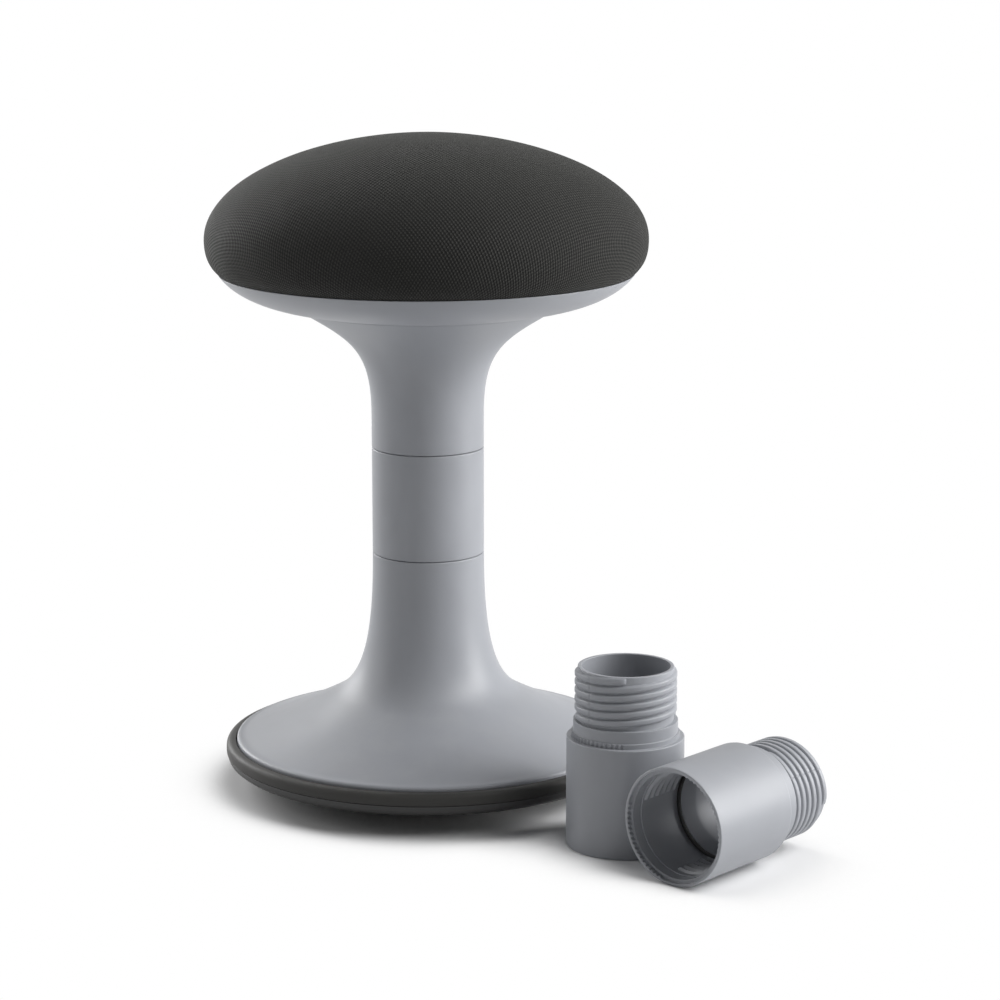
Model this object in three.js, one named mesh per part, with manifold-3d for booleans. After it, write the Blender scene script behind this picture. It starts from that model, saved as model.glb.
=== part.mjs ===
// Wobble stool: a padded seat on a column of screwed sections over a domed base,
// with two spare column sections beside it. Millimetres, +Z up, floor at zero.
import * as THREE from "three";
import { mergeVertices } from "three/addons/utils/BufferGeometryUtils.js";
import Module from "manifold-3d";

const wasm = await Module();
wasm.setup();

// Clearances and the overrun of cutting tools
const fitGap = 0.3;
const seamGap = 0.4;
const threadGap = 0.6;
const flankGap = 0.4;
const ratchetGap = 0.4;
const overrun = 1;

// Column, and the length of a section between its two seams
const columnRadius = 42.5;
const sectionLength = 80.9;
const shellWall = 2.6;
const edgeChamfer = 0.6;

// Screwed joint: steps inwards from the column's outside
const lipWall = 2.1;
const toothDepth = 0.9;
const collarStep = 1.4;
const crestStep = 0.9;
const threadDepth = 2.2;
const spigotWall = 2.8;

// Screwed joint: heights above the ledge, and the two-start thread
const ratchetHeight = 3.6;
const collarHeight = 8.75;
const ridgeSpacing = 6.2;
const ridgeCrest = 3.8;
const ridgeBase = 4.8;
const threadStarts = 2;
const threadTurnsShare = 2.75;
const ridgeFadeShare = 0.05;
const ridgeEndShare = 0.3;

// Ratchet: two opposite arcs of teeth
const teethPerArc = 17;
const arcCount = 2;
const arcTurnShare = 0.25;

// Buffer ring at the bottom of each socket, and the cone behind it
const bufferThickness = 2;
const bufferReach = 0.6;
const coneHeight = 13;

// Domed bottom plate
const footRadius = 45;
const domeSpread = 105.8;
const domeRise = 16.8;
const chineSpread = 3.8;
const chineRise = 2.8;
const flankSpread = 1.6;
const flankRise = 5.1;
const plateWall = 3;

// Rubber rim ring
const ringBulge = 0.2;
const ringSideHeight = 4;
const ringHeight = 9;
const ringTopInset = 2.7;
const ringTongue = 1.4;
const ringTongueReach = 5;
const ringShoulderShare = [1 / 3, 1 / 2];
const ringShellGap = 0.8;

// Base shell: a dished cone that flares up into the column
const baseEdgeInset = 8;
const baseEdgeHeight = 8.3;
const baseEdgeRound = 4.4;
const baseEdgeCrown = 2.3;
const waistSpread = 31.9;
const waistRise = 30.4;
const columnRise = 112;
const coneCurveShare = [0.545, 0.42];
const flareCurveShares = [
  [0.61, 0.096],
  [1, 0.276],
];

// Screws that hold the bottom plate to the base shell
const baseScrewCount = 6;
const baseScrewInset = 30.2;
const baseScrewRadius = 2;
const baseScrewLength = 18;
const baseScrewHeadRadius = 4.2;
const baseScrewHeadHeight = 2.4;
const baseScrewClearance = 0.3;
const baseBossWall = 3;
const platePostWall = 2.6;
const platePostHeight = 5;
const postFloor = 4;

// Upper shell: the column flares through a funnel into a dish under the seat
const funnelStraight = 23.7;
const funnelRise = 83.3;
const funnelSpread = 56.25;
const dishSpread = 57.6;
const dishRise = 26;
const funnelCurveShares = [
  [0, 0.595],
  [0.238, 0.7],
];
const dishCurveShares = [
  [0.084, 0.054],
  [0.702, 0.131],
];
const webThickness = 5;

// Ribs inside both shells
const ribThickness = 2.4;
const seatRibCount = 8;
const baseRibLift = 3.3;

// Seat cover, from its hem under the board up to the crown
const coverThickness = 1.5;
const hemSink = 8.2;
const hemClearance = 1;
const hemWidth = 16;
const tuckSink = 1;
const coverOverhang = 15.1;
const widestRise = 26.3;
const crownRise = 77.9;
const tuckCurveShares = [
  [0.49, 0.3],
  [1, 0.43],
];
const crownCurveShares = [
  [1, 0.58],
  [0.478, 1],
];

// Seat board and the foam's skirt around it
const boardThickness = 9;
const foamSkirtLift = 2.2;

// Bolts and T-nuts that hold the board to the upper shell
const boltCount = 4;
const boltCircle = 20;
const boltRadius = 3;
const boltClearance = 0.4;
const boltHeadRadius = 5;
const boltHeadHeight = 5;
const boltReach = 7;
const pillarWall = 3.1;
const nutGap = 0.3;
const nutWall = 0.9;
const nutFlangeRadius = 9;
const nutFlangeThickness = 1.5;

// Spare sections: one stands clear of the rim, one lies beside it with its mouth to the front
const standingClearance = 17.25;
const standingBearing = -47.868;
const standingTurn = -2;
const lyingClearance = 0.65;
const lyingSetback = 52.9;
const lyingTurn = 48.4;
const lyingRoll = 13;

// Counts of sides and steps
const columnSides = 32;
const discSides = 32;
const liningSides = 24;
const threadSides = 16;
const screwSides = 8;
const crownSteps = 6;
const tuckSteps = 2;
const coneSteps = 3;
const flareSteps = 5;
const domeSteps = 4;
const edgeSteps = 2;

// Radii of the screwed joint
const toothRootInside = columnRadius - lipWall;
const toothTipInside = toothRootInside - toothDepth;
const toothTipOutside = toothTipInside - ratchetGap;
const toothRootOutside = toothTipOutside - toothDepth;
const collarRadius = toothTipOutside - collarStep;
const registerRadius = collarRadius + fitGap;
const crestRadius = collarRadius - crestStep;
const threadBoreRadius = crestRadius + threadGap;
const rootRadius = crestRadius - threadDepth;
const innerCrestRadius = rootRadius + threadGap;
const boreRadius = rootRadius - spigotWall;
const bufferRadius = threadBoreRadius - fitGap;
const bufferInnerRadius = rootRadius - bufferReach;

// Heights of the screwed joint above its ledge, and depths below its mouth
const threadLead = ridgeSpacing * threadStarts;
const threadStart = ratchetHeight + collarHeight;
const ridgeStart = threadStart + fitGap + ridgeBase / 2;
const spigotHeight = ridgeStart + threadLead * threadTurnsShare + ridgeBase / 2;
const ratchetDepth = ratchetHeight - seamGap + fitGap;
const registerDepth = threadStart - seamGap + fitGap;
const bufferDepth = spigotHeight - seamGap + fitGap;
const socketDepth = bufferDepth + bufferThickness + fitGap;

// Radii and heights of the base, from the floor up
const domeRadius = footRadius + domeSpread;
const chineRadius = domeRadius + chineSpread;
const flankRadius = chineRadius + flankSpread;
const plateTop = domeRise + chineRise + flankRise;
const ringBottom = plateTop + fitGap;
const shellBottom = ringBottom + ringTongue + fitGap;
const baseEdgeTop = shellBottom + baseEdgeHeight;
const coneBottom = baseEdgeTop + baseEdgeCrown;
const waistHeight = coneBottom + waistRise;
const ledgeHeight = waistHeight + columnRise;
const ringRadius = flankRadius + ringBulge;
const baseEdgeRadius = flankRadius - baseEdgeInset;
const supportRadius = baseEdgeRadius - ringTongueReach;
const baseScrewCircle = baseEdgeRadius - baseScrewInset;
const baseScrewHole = baseScrewRadius + baseScrewClearance;
const headHole = baseScrewHeadRadius + baseScrewClearance;

// Radii and heights of the column and the seat
const sectionMouth = ledgeHeight + seamGap;
const sectionLedge = sectionMouth + sectionLength;
const upperMouth = sectionLedge + seamGap;
const webBottom = upperMouth + socketDepth;
const webTop = webBottom + webThickness;
const creaseRadius = columnRadius + funnelSpread;
const creaseHeight = upperMouth + funnelStraight + funnelRise;
const dishRadius = creaseRadius + dishSpread;
const dishTop = creaseHeight + dishRise;
const hemHeight = dishTop - hemSink;
const boardBottom = hemHeight + coverThickness + fitGap;
const boardTop = boardBottom + boardThickness;
const pillarTop = boardBottom - fitGap;
const pillarRadius = boltRadius + boltClearance + pillarWall;
const boltTop = boardBottom + boltReach;
const boltSeat = webBottom - fitGap;
const nutBore = boltRadius + nutGap;
const nutRadius = nutBore + nutWall;

// Colours and surfaces
const finishes = {
  shell: { color: 0xb4b7b9, roughness: 0.42, metalness: 0 },
  rubber: { color: 0x46484a, roughness: 0.75, metalness: 0 },
  plate: { color: 0x3c3e40, roughness: 0.6, metalness: 0 },
  fabric: { color: 0x1d1f20, roughness: 0.95, metalness: 0 },
  foam: { color: 0xd9d2b8, roughness: 0.95, metalness: 0 },
  wood: { color: 0xb8935f, roughness: 0.7, metalness: 0 },
  steel: { color: 0xb9bcc0, roughness: 0.35, metalness: 1 },
};

// Small helpers for outlines in radius and height
const at = (radius, height) => new THREE.Vector2(radius, height);
const toward = (from, to, share) => at(
  THREE.MathUtils.lerp(from.x, to.x, share[0]),
  THREE.MathUtils.lerp(from.y, to.y, share[1]),
);
const turns = (count) => count * Math.PI * 2;
const around = (radius, sides) => radius / Math.cos(Math.PI / sides);

function curve(from, shares, to, steps) {
  const [first, second] = shares.map((share) => toward(from, to, share));
  return new THREE.CubicBezierCurve(from, first, second, to).getPoints(steps);
}

// An outline moved to its left by a wall, mitred at its corners
function inset(outline, wall) {
  const normals = outline.slice(1).map((point, i) => {
    const along = point.clone().sub(outline[i]).normalize();
    return at(-along.y, along.x);
  });
  return outline.map((point, i) => {
    const before = normals[Math.max(i - 1, 0)];
    const after = normals[Math.min(i, normals.length - 1)];
    const mitre = before.clone().add(after);
    mitre.multiplyScalar(wall / (1 + before.dot(after)));
    return at(Math.max(point.x + mitre.x, 0), point.y + mitre.y);
  });
}

// The radius of a rising outline at one height
function radiusAt(outline, height) {
  const upper = outline.findIndex((point, i) => i > 0 && point.y >= height);
  const low = outline[upper - 1];
  const high = outline[upper];
  return THREE.MathUtils.mapLinear(height, low.y, high.y, low.x, high.x);
}

const above = (outline, height) => [
  at(radiusAt(outline, height), height),
  ...outline.filter((point) => point.y > height),
];

// A closed geometry as a solid, without the slivers that an axis leaves
function solid(geometry) {
  const bare = geometry.clone();
  bare.deleteAttribute("normal");
  bare.deleteAttribute("uv");
  const merged = mergeVertices(bare);
  const index = merged.index.array;
  const kept = [];
  for (let i = 0; i < index.length; i += 3) {
    const [a, b, c] = [index[i], index[i + 1], index[i + 2]];
    if (a !== b && b !== c && c !== a) kept.push(a, b, c);
  }
  return new wasm.Manifold(new wasm.Mesh({
    numProp: 3,
    vertProperties: new Float32Array(merged.attributes.position.array),
    triVerts: new Uint32Array(kept),
  }));
}

// A solid of revolution, from an outline that ends on the axis or closes on itself
function turned(outline, sides) {
  const points = outline.map((point) => point.clone());
  if (THREE.ShapeUtils.area(points) < 0) points.reverse();
  if (points[0].x > 0 || points[points.length - 1].x > 0) points.push(points[0].clone());
  const geometry = new THREE.LatheGeometry(points, sides);
  geometry.rotateX(Math.PI / 2);
  return solid(geometry);
}

// A round bar between two heights, away from the axis
function bar(radius, bottom, top, x) {
  const geometry = new THREE.CylinderGeometry(radius, radius, top - bottom, screwSides);
  geometry.rotateX(Math.PI / 2);
  geometry.translate(x, 0, (bottom + top) / 2);
  return geometry;
}

// A rib that stands on edge and points away from the axis
function rib(start, end, bottom, top) {
  const geometry = new THREE.BoxGeometry(end - start, ribThickness, top - bottom);
  geometry.translate((start + end) / 2, 0, (bottom + top) / 2);
  return geometry;
}

// Copies of a geometry around the axis, as solids
function ringOf(count, geometry, firstTurn = 0) {
  return Array.from({ length: count }, (_, i) => {
    const copy = geometry.clone();
    copy.rotateZ(turns(firstTurn + i / count));
    return solid(copy);
  });
}

const join = (parts) => parts.reduce((sum, part) => sum.add(part));
const cut = (body, tools) => tools.reduce((rest, tool) => rest.subtract(tool), body);

// A ring outline, with teeth on two opposite arcs that reach from one radius to the other
function toothedOutline(plainRadius, toothRadius) {
  const points = [];
  const put = (radius, turn) => points.push(at(radius * Math.cos(turn), radius * Math.sin(turn)));
  const pitch = turns(arcTurnShare) / teethPerArc;
  const plainSteps = threadSides * arcTurnShare;
  for (let arc = 0; arc < arcCount; arc += 1) {
    const start = turns(arc / arcCount);
    for (let tooth = 0; tooth < teethPerArc; tooth += 1) {
      put(plainRadius, start + pitch * tooth);
      put(toothRadius, start + pitch * (tooth + 1 / 2));
    }
    for (let step = 0; step < plainSteps; step += 1) {
      put(plainRadius, start + turns(arcTurnShare + step / threadSides));
    }
  }
  return new THREE.Shape(points);
}

function toothedRing(plainRadius, toothRadius, bottom, top) {
  const geometry = new THREE.ExtrudeGeometry(toothedOutline(plainRadius, toothRadius), {
    depth: top - bottom,
    bevelEnabled: false,
  });
  geometry.translate(0, 0, bottom);
  return solid(geometry);
}

// A straight ridge bent round the axis into a helix, drawn down at its ends
function helicalRidge({ section, baseRadius, startTurn, turnShare, height, fade }) {
  const steps = Math.round(threadSides * turnShare);
  const geometry = new THREE.ExtrudeGeometry(new THREE.Shape(section), {
    depth: turnShare,
    steps,
    bevelEnabled: false,
  });
  const position = geometry.attributes.position;
  for (let i = 0; i < position.count; i += 1) {
    const turn = position.getZ(i);
    const inside = Math.min(turn, turnShare - turn) / fade;
    const scale = THREE.MathUtils.lerp(ridgeEndShare, 1, Math.min(inside, 1));
    const radius = THREE.MathUtils.lerp(baseRadius, position.getX(i), scale);
    const angle = turns(startTurn + turn);
    const rise = height - position.getY(i) + threadLead * turn;
    position.setXYZ(i, radius * Math.cos(angle), radius * Math.sin(angle), rise);
  }
  return solid(geometry);
}

// Width of the outer ridge at a radius, from its base to its crest
const ridgeWidthAt = (radius) => THREE.MathUtils.mapLinear(
  radius, rootRadius, crestRadius, ridgeBase, ridgeCrest,
);
const grooveWidthAt = (radius) => ridgeSpacing - ridgeWidthAt(radius) - flankGap * 2;

// Threaded spigot with its ratchet teeth, above a ledge
function spigot(ledge) {
  const buried = rootRadius - spigotWall / 2;
  const core = turned([
    at(0, ledge - overrun),
    at(collarRadius, ledge - overrun),
    at(collarRadius, ledge + threadStart),
    at(rootRadius, ledge + threadStart),
    at(rootRadius, ledge + spigotHeight - edgeChamfer),
    at(rootRadius - edgeChamfer, ledge + spigotHeight),
    at(0, ledge + spigotHeight),
  ], threadSides);
  const ratchet = toothedRing(toothTipOutside, toothRootOutside, ledge - overrun, ledge + ratchetHeight);
  const ridges = Array.from({ length: threadStarts }, (_, start) => helicalRidge({
    section: [
      at(buried, -ridgeBase / 2),
      at(rootRadius, -ridgeBase / 2),
      at(crestRadius, -ridgeCrest / 2),
      at(crestRadius, ridgeCrest / 2),
      at(rootRadius, ridgeBase / 2),
      at(buried, ridgeBase / 2),
    ],
    baseRadius: buried,
    startTurn: start / threadStarts,
    turnShare: threadTurnsShare,
    height: ledge + ridgeStart,
    fade: ridgeFadeShare,
  }));
  return join([core, ratchet, ...ridges]);
}

// Interrupted ridges of a socket: two opposite arcs between the arcs of teeth
function socketRidges(mouth) {
  const tip = around(innerCrestRadius, threadSides);
  const bore = around(threadBoreRadius, threadSides);
  const buried = bore + overrun;
  const tipHalf = grooveWidthAt(innerCrestRadius) / 2;
  const boreHalf = grooveWidthAt(threadBoreRadius) / 2;
  const section = [
    at(tip, -tipHalf),
    at(bore, -boreHalf),
    at(buried, -boreHalf),
    at(buried, boreHalf),
    at(bore, boreHalf),
    at(tip, tipHalf),
  ];
  const ridges = [];
  for (let arc = 0; arc < arcCount; arc += 1) {
    const startTurn = arc / arcCount + arcTurnShare;
    const inStep = (threadLead * startTurn) % ridgeSpacing;
    let height = ridgeStart - seamGap + ridgeSpacing / 2 + inStep - ridgeSpacing;
    const top = bufferDepth - fitGap - boreHalf - threadLead * arcTurnShare;
    for (; height < top; height += ridgeSpacing) {
      if (height - boreHalf < registerDepth) continue;
      ridges.push(helicalRidge({
        section,
        baseRadius: buried,
        startTurn,
        turnShare: arcTurnShare,
        height: mouth + height,
        fade: ridgeFadeShare,
      }));
    }
  }
  return ridges;
}

// The hollow of a socket, up from its mouth; a through bore also gets the cone behind it
function socket(mouth, boreEnd) {
  const register = around(registerRadius, threadSides);
  const bore = around(threadBoreRadius, threadSides);
  const outline = [
    at(0, mouth - overrun),
    at(register, mouth - overrun),
    at(register, mouth + registerDepth),
    at(bore, mouth + registerDepth),
    at(bore, mouth + socketDepth),
  ];
  if (boreEnd > mouth) {
    outline.push(at(bufferInnerRadius, mouth + socketDepth));
    outline.push(at(boreRadius, mouth + socketDepth + coneHeight));
    outline.push(at(boreRadius, boreEnd + overrun));
    outline.push(at(0, boreEnd + overrun));
  } else {
    outline.push(at(0, mouth + socketDepth));
  }
  const teeth = toothedRing(
    around(toothRootInside, threadSides), toothTipInside, mouth - overrun, mouth + ratchetDepth,
  );
  return cut(turned(outline, threadSides).add(teeth), socketRidges(mouth));
}

// Column section, with its mouth at height zero
function columnSection() {
  const body = turned([
    at(0, 0),
    at(columnRadius - edgeChamfer, 0),
    at(columnRadius, edgeChamfer),
    at(columnRadius, sectionLength - edgeChamfer),
    at(columnRadius - edgeChamfer, sectionLength),
    at(0, sectionLength),
  ], columnSides);
  return body.add(spigot(sectionLength)).subtract(socket(0, sectionLength + spigotHeight));
}

// Soft ring that takes the play at the spigot's end, with the mouth at height zero
function bufferRing() {
  return turned([
    at(bufferInnerRadius, bufferDepth),
    at(bufferRadius, bufferDepth),
    at(bufferRadius, bufferDepth + bufferThickness),
    at(bufferInnerRadius, bufferDepth + bufferThickness),
  ], threadSides);
}

// Base shell
const edgeTop = at(baseEdgeRadius - baseEdgeRound, coneBottom);
const waist = at(columnRadius + waistSpread, waistHeight);
const cone = new THREE.QuadraticBezierCurve(edgeTop, toward(edgeTop, waist, coneCurveShare), waist);
const edgeRound = new THREE.EllipseCurve(
  edgeTop.x, baseEdgeTop, baseEdgeRound, baseEdgeCrown, 0, Math.PI / 2,
);
const baseOutline = [
  at(baseEdgeRadius, shellBottom),
  ...edgeRound.getPoints(edgeSteps),
  ...cone.getPoints(coneSteps).slice(1),
  ...curve(waist, flareCurveShares, at(columnRadius, ledgeHeight - edgeChamfer), flareSteps).slice(1),
];

function baseShell() {
  const coneStart = ledgeHeight - coneHeight * 2;
  const inside = inset(baseOutline, shellWall).filter((point) => point.y < coneStart);
  const middle = inset(baseOutline, shellWall / 2);
  const outer = turned([
    at(0, shellBottom),
    ...baseOutline,
    at(columnRadius - edgeChamfer, ledgeHeight),
    at(0, ledgeHeight),
  ], discSides).add(spigot(ledgeHeight));
  const hollow = turned([
    at(0, shellBottom - overrun),
    at(inside[0].x, shellBottom - overrun),
    ...inside,
    at(columnRadius - shellWall, coneStart),
    at(boreRadius, coneStart + coneHeight),
    at(boreRadius, ledgeHeight + spigotHeight + overrun),
    at(0, ledgeHeight + spigotHeight + overrun),
  ], liningSides);
  const withinShell = turned([at(0, shellBottom), ...middle, at(0, ledgeHeight)], liningSides);
  const withinBase = turned([at(0, 0), at(middle[0].x, 0), ...middle, at(0, ledgeHeight)], liningSides);
  const bossBottom = plateInsideAt(baseScrewCircle) + platePostHeight + fitGap;
  const screwTop = bossBottom - postFloor - fitGap * 2 + baseScrewLength;
  const ribs = ringOf(baseScrewCount, rib(
    waist.x, baseEdgeRadius - shellWall / 2, shellBottom + baseRibLift, waistHeight,
  ), 1 / (2 * baseScrewCount));
  const bossRadius = baseScrewHole + baseBossWall;
  const bosses = ringOf(baseScrewCount, bar(bossRadius, bossBottom, waistHeight, baseScrewCircle));
  const pilots = ringOf(baseScrewCount, bar(
    baseScrewHole, bossBottom - overrun, screwTop + overrun, baseScrewCircle,
  ));
  const lining = join([
    ...ribs.map((solidRib) => solidRib.intersect(withinShell)),
    ...bosses.map((boss) => boss.intersect(withinBase)),
  ]);
  return cut(outer.subtract(hollow).add(lining), pilots);
}

// Bottom plate: flat foot, dome, chine and flank, with a support wall under the rubber ring
const domeAt = (radius) => domeRise * ((radius - footRadius) / domeSpread) ** 2;
const plateInsideAt = (radius) => domeAt(radius) + plateWall;

function bottomPlate() {
  const dome = Array.from({ length: domeSteps }, (_, i) => {
    const radius = footRadius + (domeSpread * (i + 1)) / domeSteps;
    return at(radius, domeAt(radius));
  });
  const inner = [at(footRadius, plateWall)];
  for (let step = 1; step < domeSteps; step += 1) {
    const radius = footRadius + ((supportRadius - footRadius) * step) / domeSteps;
    inner.push(at(radius, plateInsideAt(radius)));
  }
  inner.push(at(supportRadius, plateInsideAt(supportRadius)));
  const plate = turned([
    at(0, 0),
    at(footRadius, 0),
    ...dome,
    at(chineRadius, domeRise + chineRise),
    at(flankRadius, plateTop),
    at(flankRadius - plateWall, plateTop),
    at(chineRadius - plateWall, domeRise + chineRise + plateWall / 2),
    at(supportRadius + plateWall, domeRise + plateWall / 2),
    at(supportRadius + plateWall, plateTop),
    at(supportRadius, plateTop),
    ...inner.reverse(),
    at(0, plateWall),
  ], discSides);
  const postTop = plateInsideAt(baseScrewCircle) + platePostHeight;
  const seat = postTop - postFloor;
  const posts = ringOf(baseScrewCount, bar(
    headHole + platePostWall, domeAt(baseScrewCircle) + plateWall / 2, postTop, baseScrewCircle,
  ));
  const counterbores = ringOf(baseScrewCount, bar(headHole, -overrun, seat, baseScrewCircle));
  const holes = ringOf(baseScrewCount, bar(
    baseScrewHole, seat - overrun, postTop + overrun, baseScrewCircle,
  ));
  return cut(join([plate, ...posts]), [...counterbores, ...holes]);
}

// Rubber ring: a tongue clamped under the shell, a rounded side outside it
function rimRing() {
  const shoulder = at(ringRadius, ringBottom + ringSideHeight);
  const corner = at(ringRadius - ringTopInset, ringBottom + ringHeight);
  return turned([
    at(supportRadius, ringBottom),
    at(ringRadius - ringBulge, ringBottom),
    at(ringRadius, ringBottom + ringBulge),
    shoulder,
    toward(shoulder, corner, ringShoulderShare),
    corner,
    at(baseEdgeRadius + ringShellGap, ringBottom + ringHeight),
    at(baseEdgeRadius + ringShellGap, ringBottom + ringTongue),
    at(supportRadius, ringBottom + ringTongue),
  ], discSides);
}

// Screw from below the bottom plate into a boss
function baseScrew() {
  const seat = plateInsideAt(baseScrewCircle) + platePostHeight - postFloor - fitGap;
  return turned([
    at(0, seat - baseScrewHeadHeight),
    at(baseScrewHeadRadius, seat - baseScrewHeadHeight / 2),
    at(baseScrewHeadRadius, seat),
    at(baseScrewRadius, seat),
    at(baseScrewRadius, seat + baseScrewLength - baseScrewRadius),
    at(0, seat + baseScrewLength),
  ], screwSides);
}

// Upper shell
const funnelStart = at(columnRadius, upperMouth + funnelStraight);
const crease = at(creaseRadius, creaseHeight);
const lip = at(dishRadius, dishTop);
const upperOutline = [
  at(columnRadius, upperMouth + edgeChamfer),
  ...curve(funnelStart, funnelCurveShares, crease, flareSteps),
  ...curve(crease, dishCurveShares, lip, flareSteps).slice(1),
];
const dishInside = inset(upperOutline, shellWall);
const hemRadius = radiusAt(dishInside, hemHeight) - fitGap - hemClearance;
const boardRadius = hemRadius - coverThickness - fitGap;

function upperShell() {
  const outer = turned([
    at(0, upperMouth),
    at(columnRadius - edgeChamfer, upperMouth),
    ...upperOutline,
    at(0, dishTop),
  ], discSides);
  const bowl = turned([
    at(0, webTop),
    ...above(dishInside, webTop),
    at(dishRadius, dishTop + dishRise),
    at(0, dishTop + dishRise),
  ], discSides);
  const middle = inset(upperOutline, shellWall / 2);
  const withinShell = turned([
    at(0, upperMouth),
    ...middle,
    at(0, dishTop + dishRise),
  ], liningSides);
  const ribFoot = webTop - webThickness / 2;
  const ribEnd = hemRadius - hemWidth - hemClearance;
  const ribs = ringOf(seatRibCount, rib(boltCircle, ribEnd, ribFoot, pillarTop));
  const pillars = ringOf(boltCount, bar(pillarRadius, ribFoot, pillarTop, boltCircle));
  const holes = ringOf(boltCount, bar(
    boltRadius + boltClearance, webBottom - overrun, pillarTop + overrun, boltCircle,
  ));
  const lining = join([...ribs.map((solidRib) => solidRib.intersect(withinShell)), ...pillars]);
  const shell = outer.subtract(socket(upperMouth, 0)).subtract(bowl);
  return cut(shell.add(lining), holes);
}

// Seat cover: a skin from the hem under the board, inside the lip and over the crown
const tuck = at(radiusAt(dishInside, dishTop - tuckSink) - fitGap, dishTop - tuckSink);
const widest = at(tuck.x + coverOverhang, tuck.y + widestRise);
const apex = at(0, widest.y + crownRise);
const crownFoot = at(0, widest.y);
const crownHead = at(widest.x, apex.y);
const [crownFirst, crownSecond] = crownCurveShares.map((share) => toward(crownFoot, crownHead, share));
const coverOutline = [
  at(hemRadius - hemWidth, hemHeight),
  at(hemRadius, hemHeight),
  ...curve(tuck, tuckCurveShares, widest, tuckSteps),
  ...new THREE.CubicBezierCurve(widest, crownFirst, crownSecond, apex).getPoints(crownSteps).slice(1),
];

function seatCover() {
  return turned([...coverOutline, ...inset(coverOutline, coverThickness).reverse()], discSides);
}

function seatFoam() {
  const skirt = boardBottom + foamSkirtLift;
  const outside = inset(coverOutline.slice(1), coverThickness + fitGap);
  return turned([
    at(0, boardTop + fitGap),
    at(boardRadius + fitGap, boardTop + fitGap),
    at(boardRadius + fitGap, skirt),
    ...above(outside, skirt),
  ], discSides);
}

function seatBoard() {
  const flangeSeat = boardTop - nutFlangeThickness;
  const board = turned([
    at(0, boardBottom),
    at(boardRadius, boardBottom),
    at(boardRadius, boardTop),
    at(0, boardTop),
  ], discSides);
  const flanges = ringOf(boltCount, bar(
    nutFlangeRadius + fitGap, flangeSeat - fitGap, boardTop + overrun, boltCircle,
  ));
  const barrels = ringOf(boltCount, bar(
    nutRadius + fitGap, boardBottom - overrun, flangeSeat, boltCircle,
  ));
  return cut(board, [...flanges, ...barrels]);
}

// T-nut: a flange sunk into the board's top, a barrel down through it
function tNut() {
  return turned([
    at(nutBore, boardBottom + fitGap),
    at(nutRadius, boardBottom + fitGap),
    at(nutRadius, boardTop - nutFlangeThickness),
    at(nutFlangeRadius, boardTop - nutFlangeThickness),
    at(nutFlangeRadius, boardTop),
    at(nutBore, boardTop),
  ], screwSides);
}

function seatBolt() {
  return turned([
    at(0, boltSeat - boltHeadHeight),
    at(boltHeadRadius, boltSeat - boltHeadHeight),
    at(boltHeadRadius, boltSeat),
    at(boltRadius, boltSeat),
    at(boltRadius, boltTop - edgeChamfer),
    at(boltRadius - edgeChamfer, boltTop),
    at(0, boltTop),
  ], screwSides);
}

// A named mesh of a solid
function piece(name, body, finish) {
  const mesh = body.getMesh();
  const geometry = new THREE.BufferGeometry();
  geometry.setAttribute("position", new THREE.BufferAttribute(mesh.vertProperties, mesh.numProp));
  geometry.setIndex(new THREE.BufferAttribute(mesh.triVerts, 1));
  geometry.computeVertexNormals();
  const part = new THREE.Mesh(geometry, new THREE.MeshStandardMaterial(finishes[finish]));
  part.name = name;
  return part;
}

// Copies of a fastener around the axis, each its own mesh
function fasteners(prefix, count, circle, body, finish) {
  return Array.from({ length: count }, (_, i) => {
    const copy = piece(`${prefix}_${i + 1}`, body, finish);
    const turn = turns(i / count);
    copy.position.set(circle * Math.cos(turn), circle * Math.sin(turn), 0);
    copy.rotation.z = turn;
    return copy;
  });
}

// A section and its buffer ring, with their mouth at the group's origin
function sectionGroup(sectionName, ringName) {
  const group = new THREE.Group();
  group.add(piece(sectionName, columnSection(), "shell"));
  group.add(piece(ringName, bufferRing(), "rubber"));
  return group;
}

const stool = new THREE.Group();

stool.add(piece("base_shell", baseShell(), "shell"));
stool.add(piece("rim_ring", rimRing(), "rubber"));
stool.add(piece("bottom_plate", bottomPlate(), "plate"));
stool.add(...fasteners("base_screw", baseScrewCount, baseScrewCircle, baseScrew(), "steel"));

const mounted = sectionGroup("extension_section", "section_stop_ring");
mounted.position.z = sectionMouth;
stool.add(mounted);

stool.add(piece("upper_shell", upperShell(), "shell"));
const seatRing = piece("seat_stop_ring", bufferRing(), "rubber");
seatRing.position.z = upperMouth;
stool.add(seatRing);
stool.add(piece("seat_board", seatBoard(), "wood"));
stool.add(...fasteners("t_nut", boltCount, boltCircle, tNut(), "steel"));
stool.add(...fasteners("seat_bolt", boltCount, boltCircle, seatBolt(), "steel"));
stool.add(piece("seat_foam", seatFoam(), "foam"));
stool.add(piece("seat_cover", seatCover(), "fabric"));

// The standing section's foot, clear of the rim
const bearing = THREE.MathUtils.degToRad(standingBearing);
const standingReach = ringRadius + standingClearance + columnRadius;
const standingFoot = at(standingReach * Math.cos(bearing), standingReach * Math.sin(bearing));

const standing = sectionGroup("spare_section_standing", "standing_stop_ring");
standing.position.set(standingFoot.x, standingFoot.y, 0);
standing.rotation.z = THREE.MathUtils.degToRad(standingTurn);
stool.add(standing);

// The lying section's mouth, set back along its axis and clear of the standing section
const heading = THREE.MathUtils.degToRad(lyingTurn);
const lyingAxis = at(Math.cos(heading), Math.sin(heading));
const lyingSide = at(lyingAxis.y, -lyingAxis.x);
const lyingMouth = standingFoot.clone()
  .addScaledVector(lyingSide, columnRadius * 2 + lyingClearance)
  .addScaledVector(lyingAxis, -lyingSetback);

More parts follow.
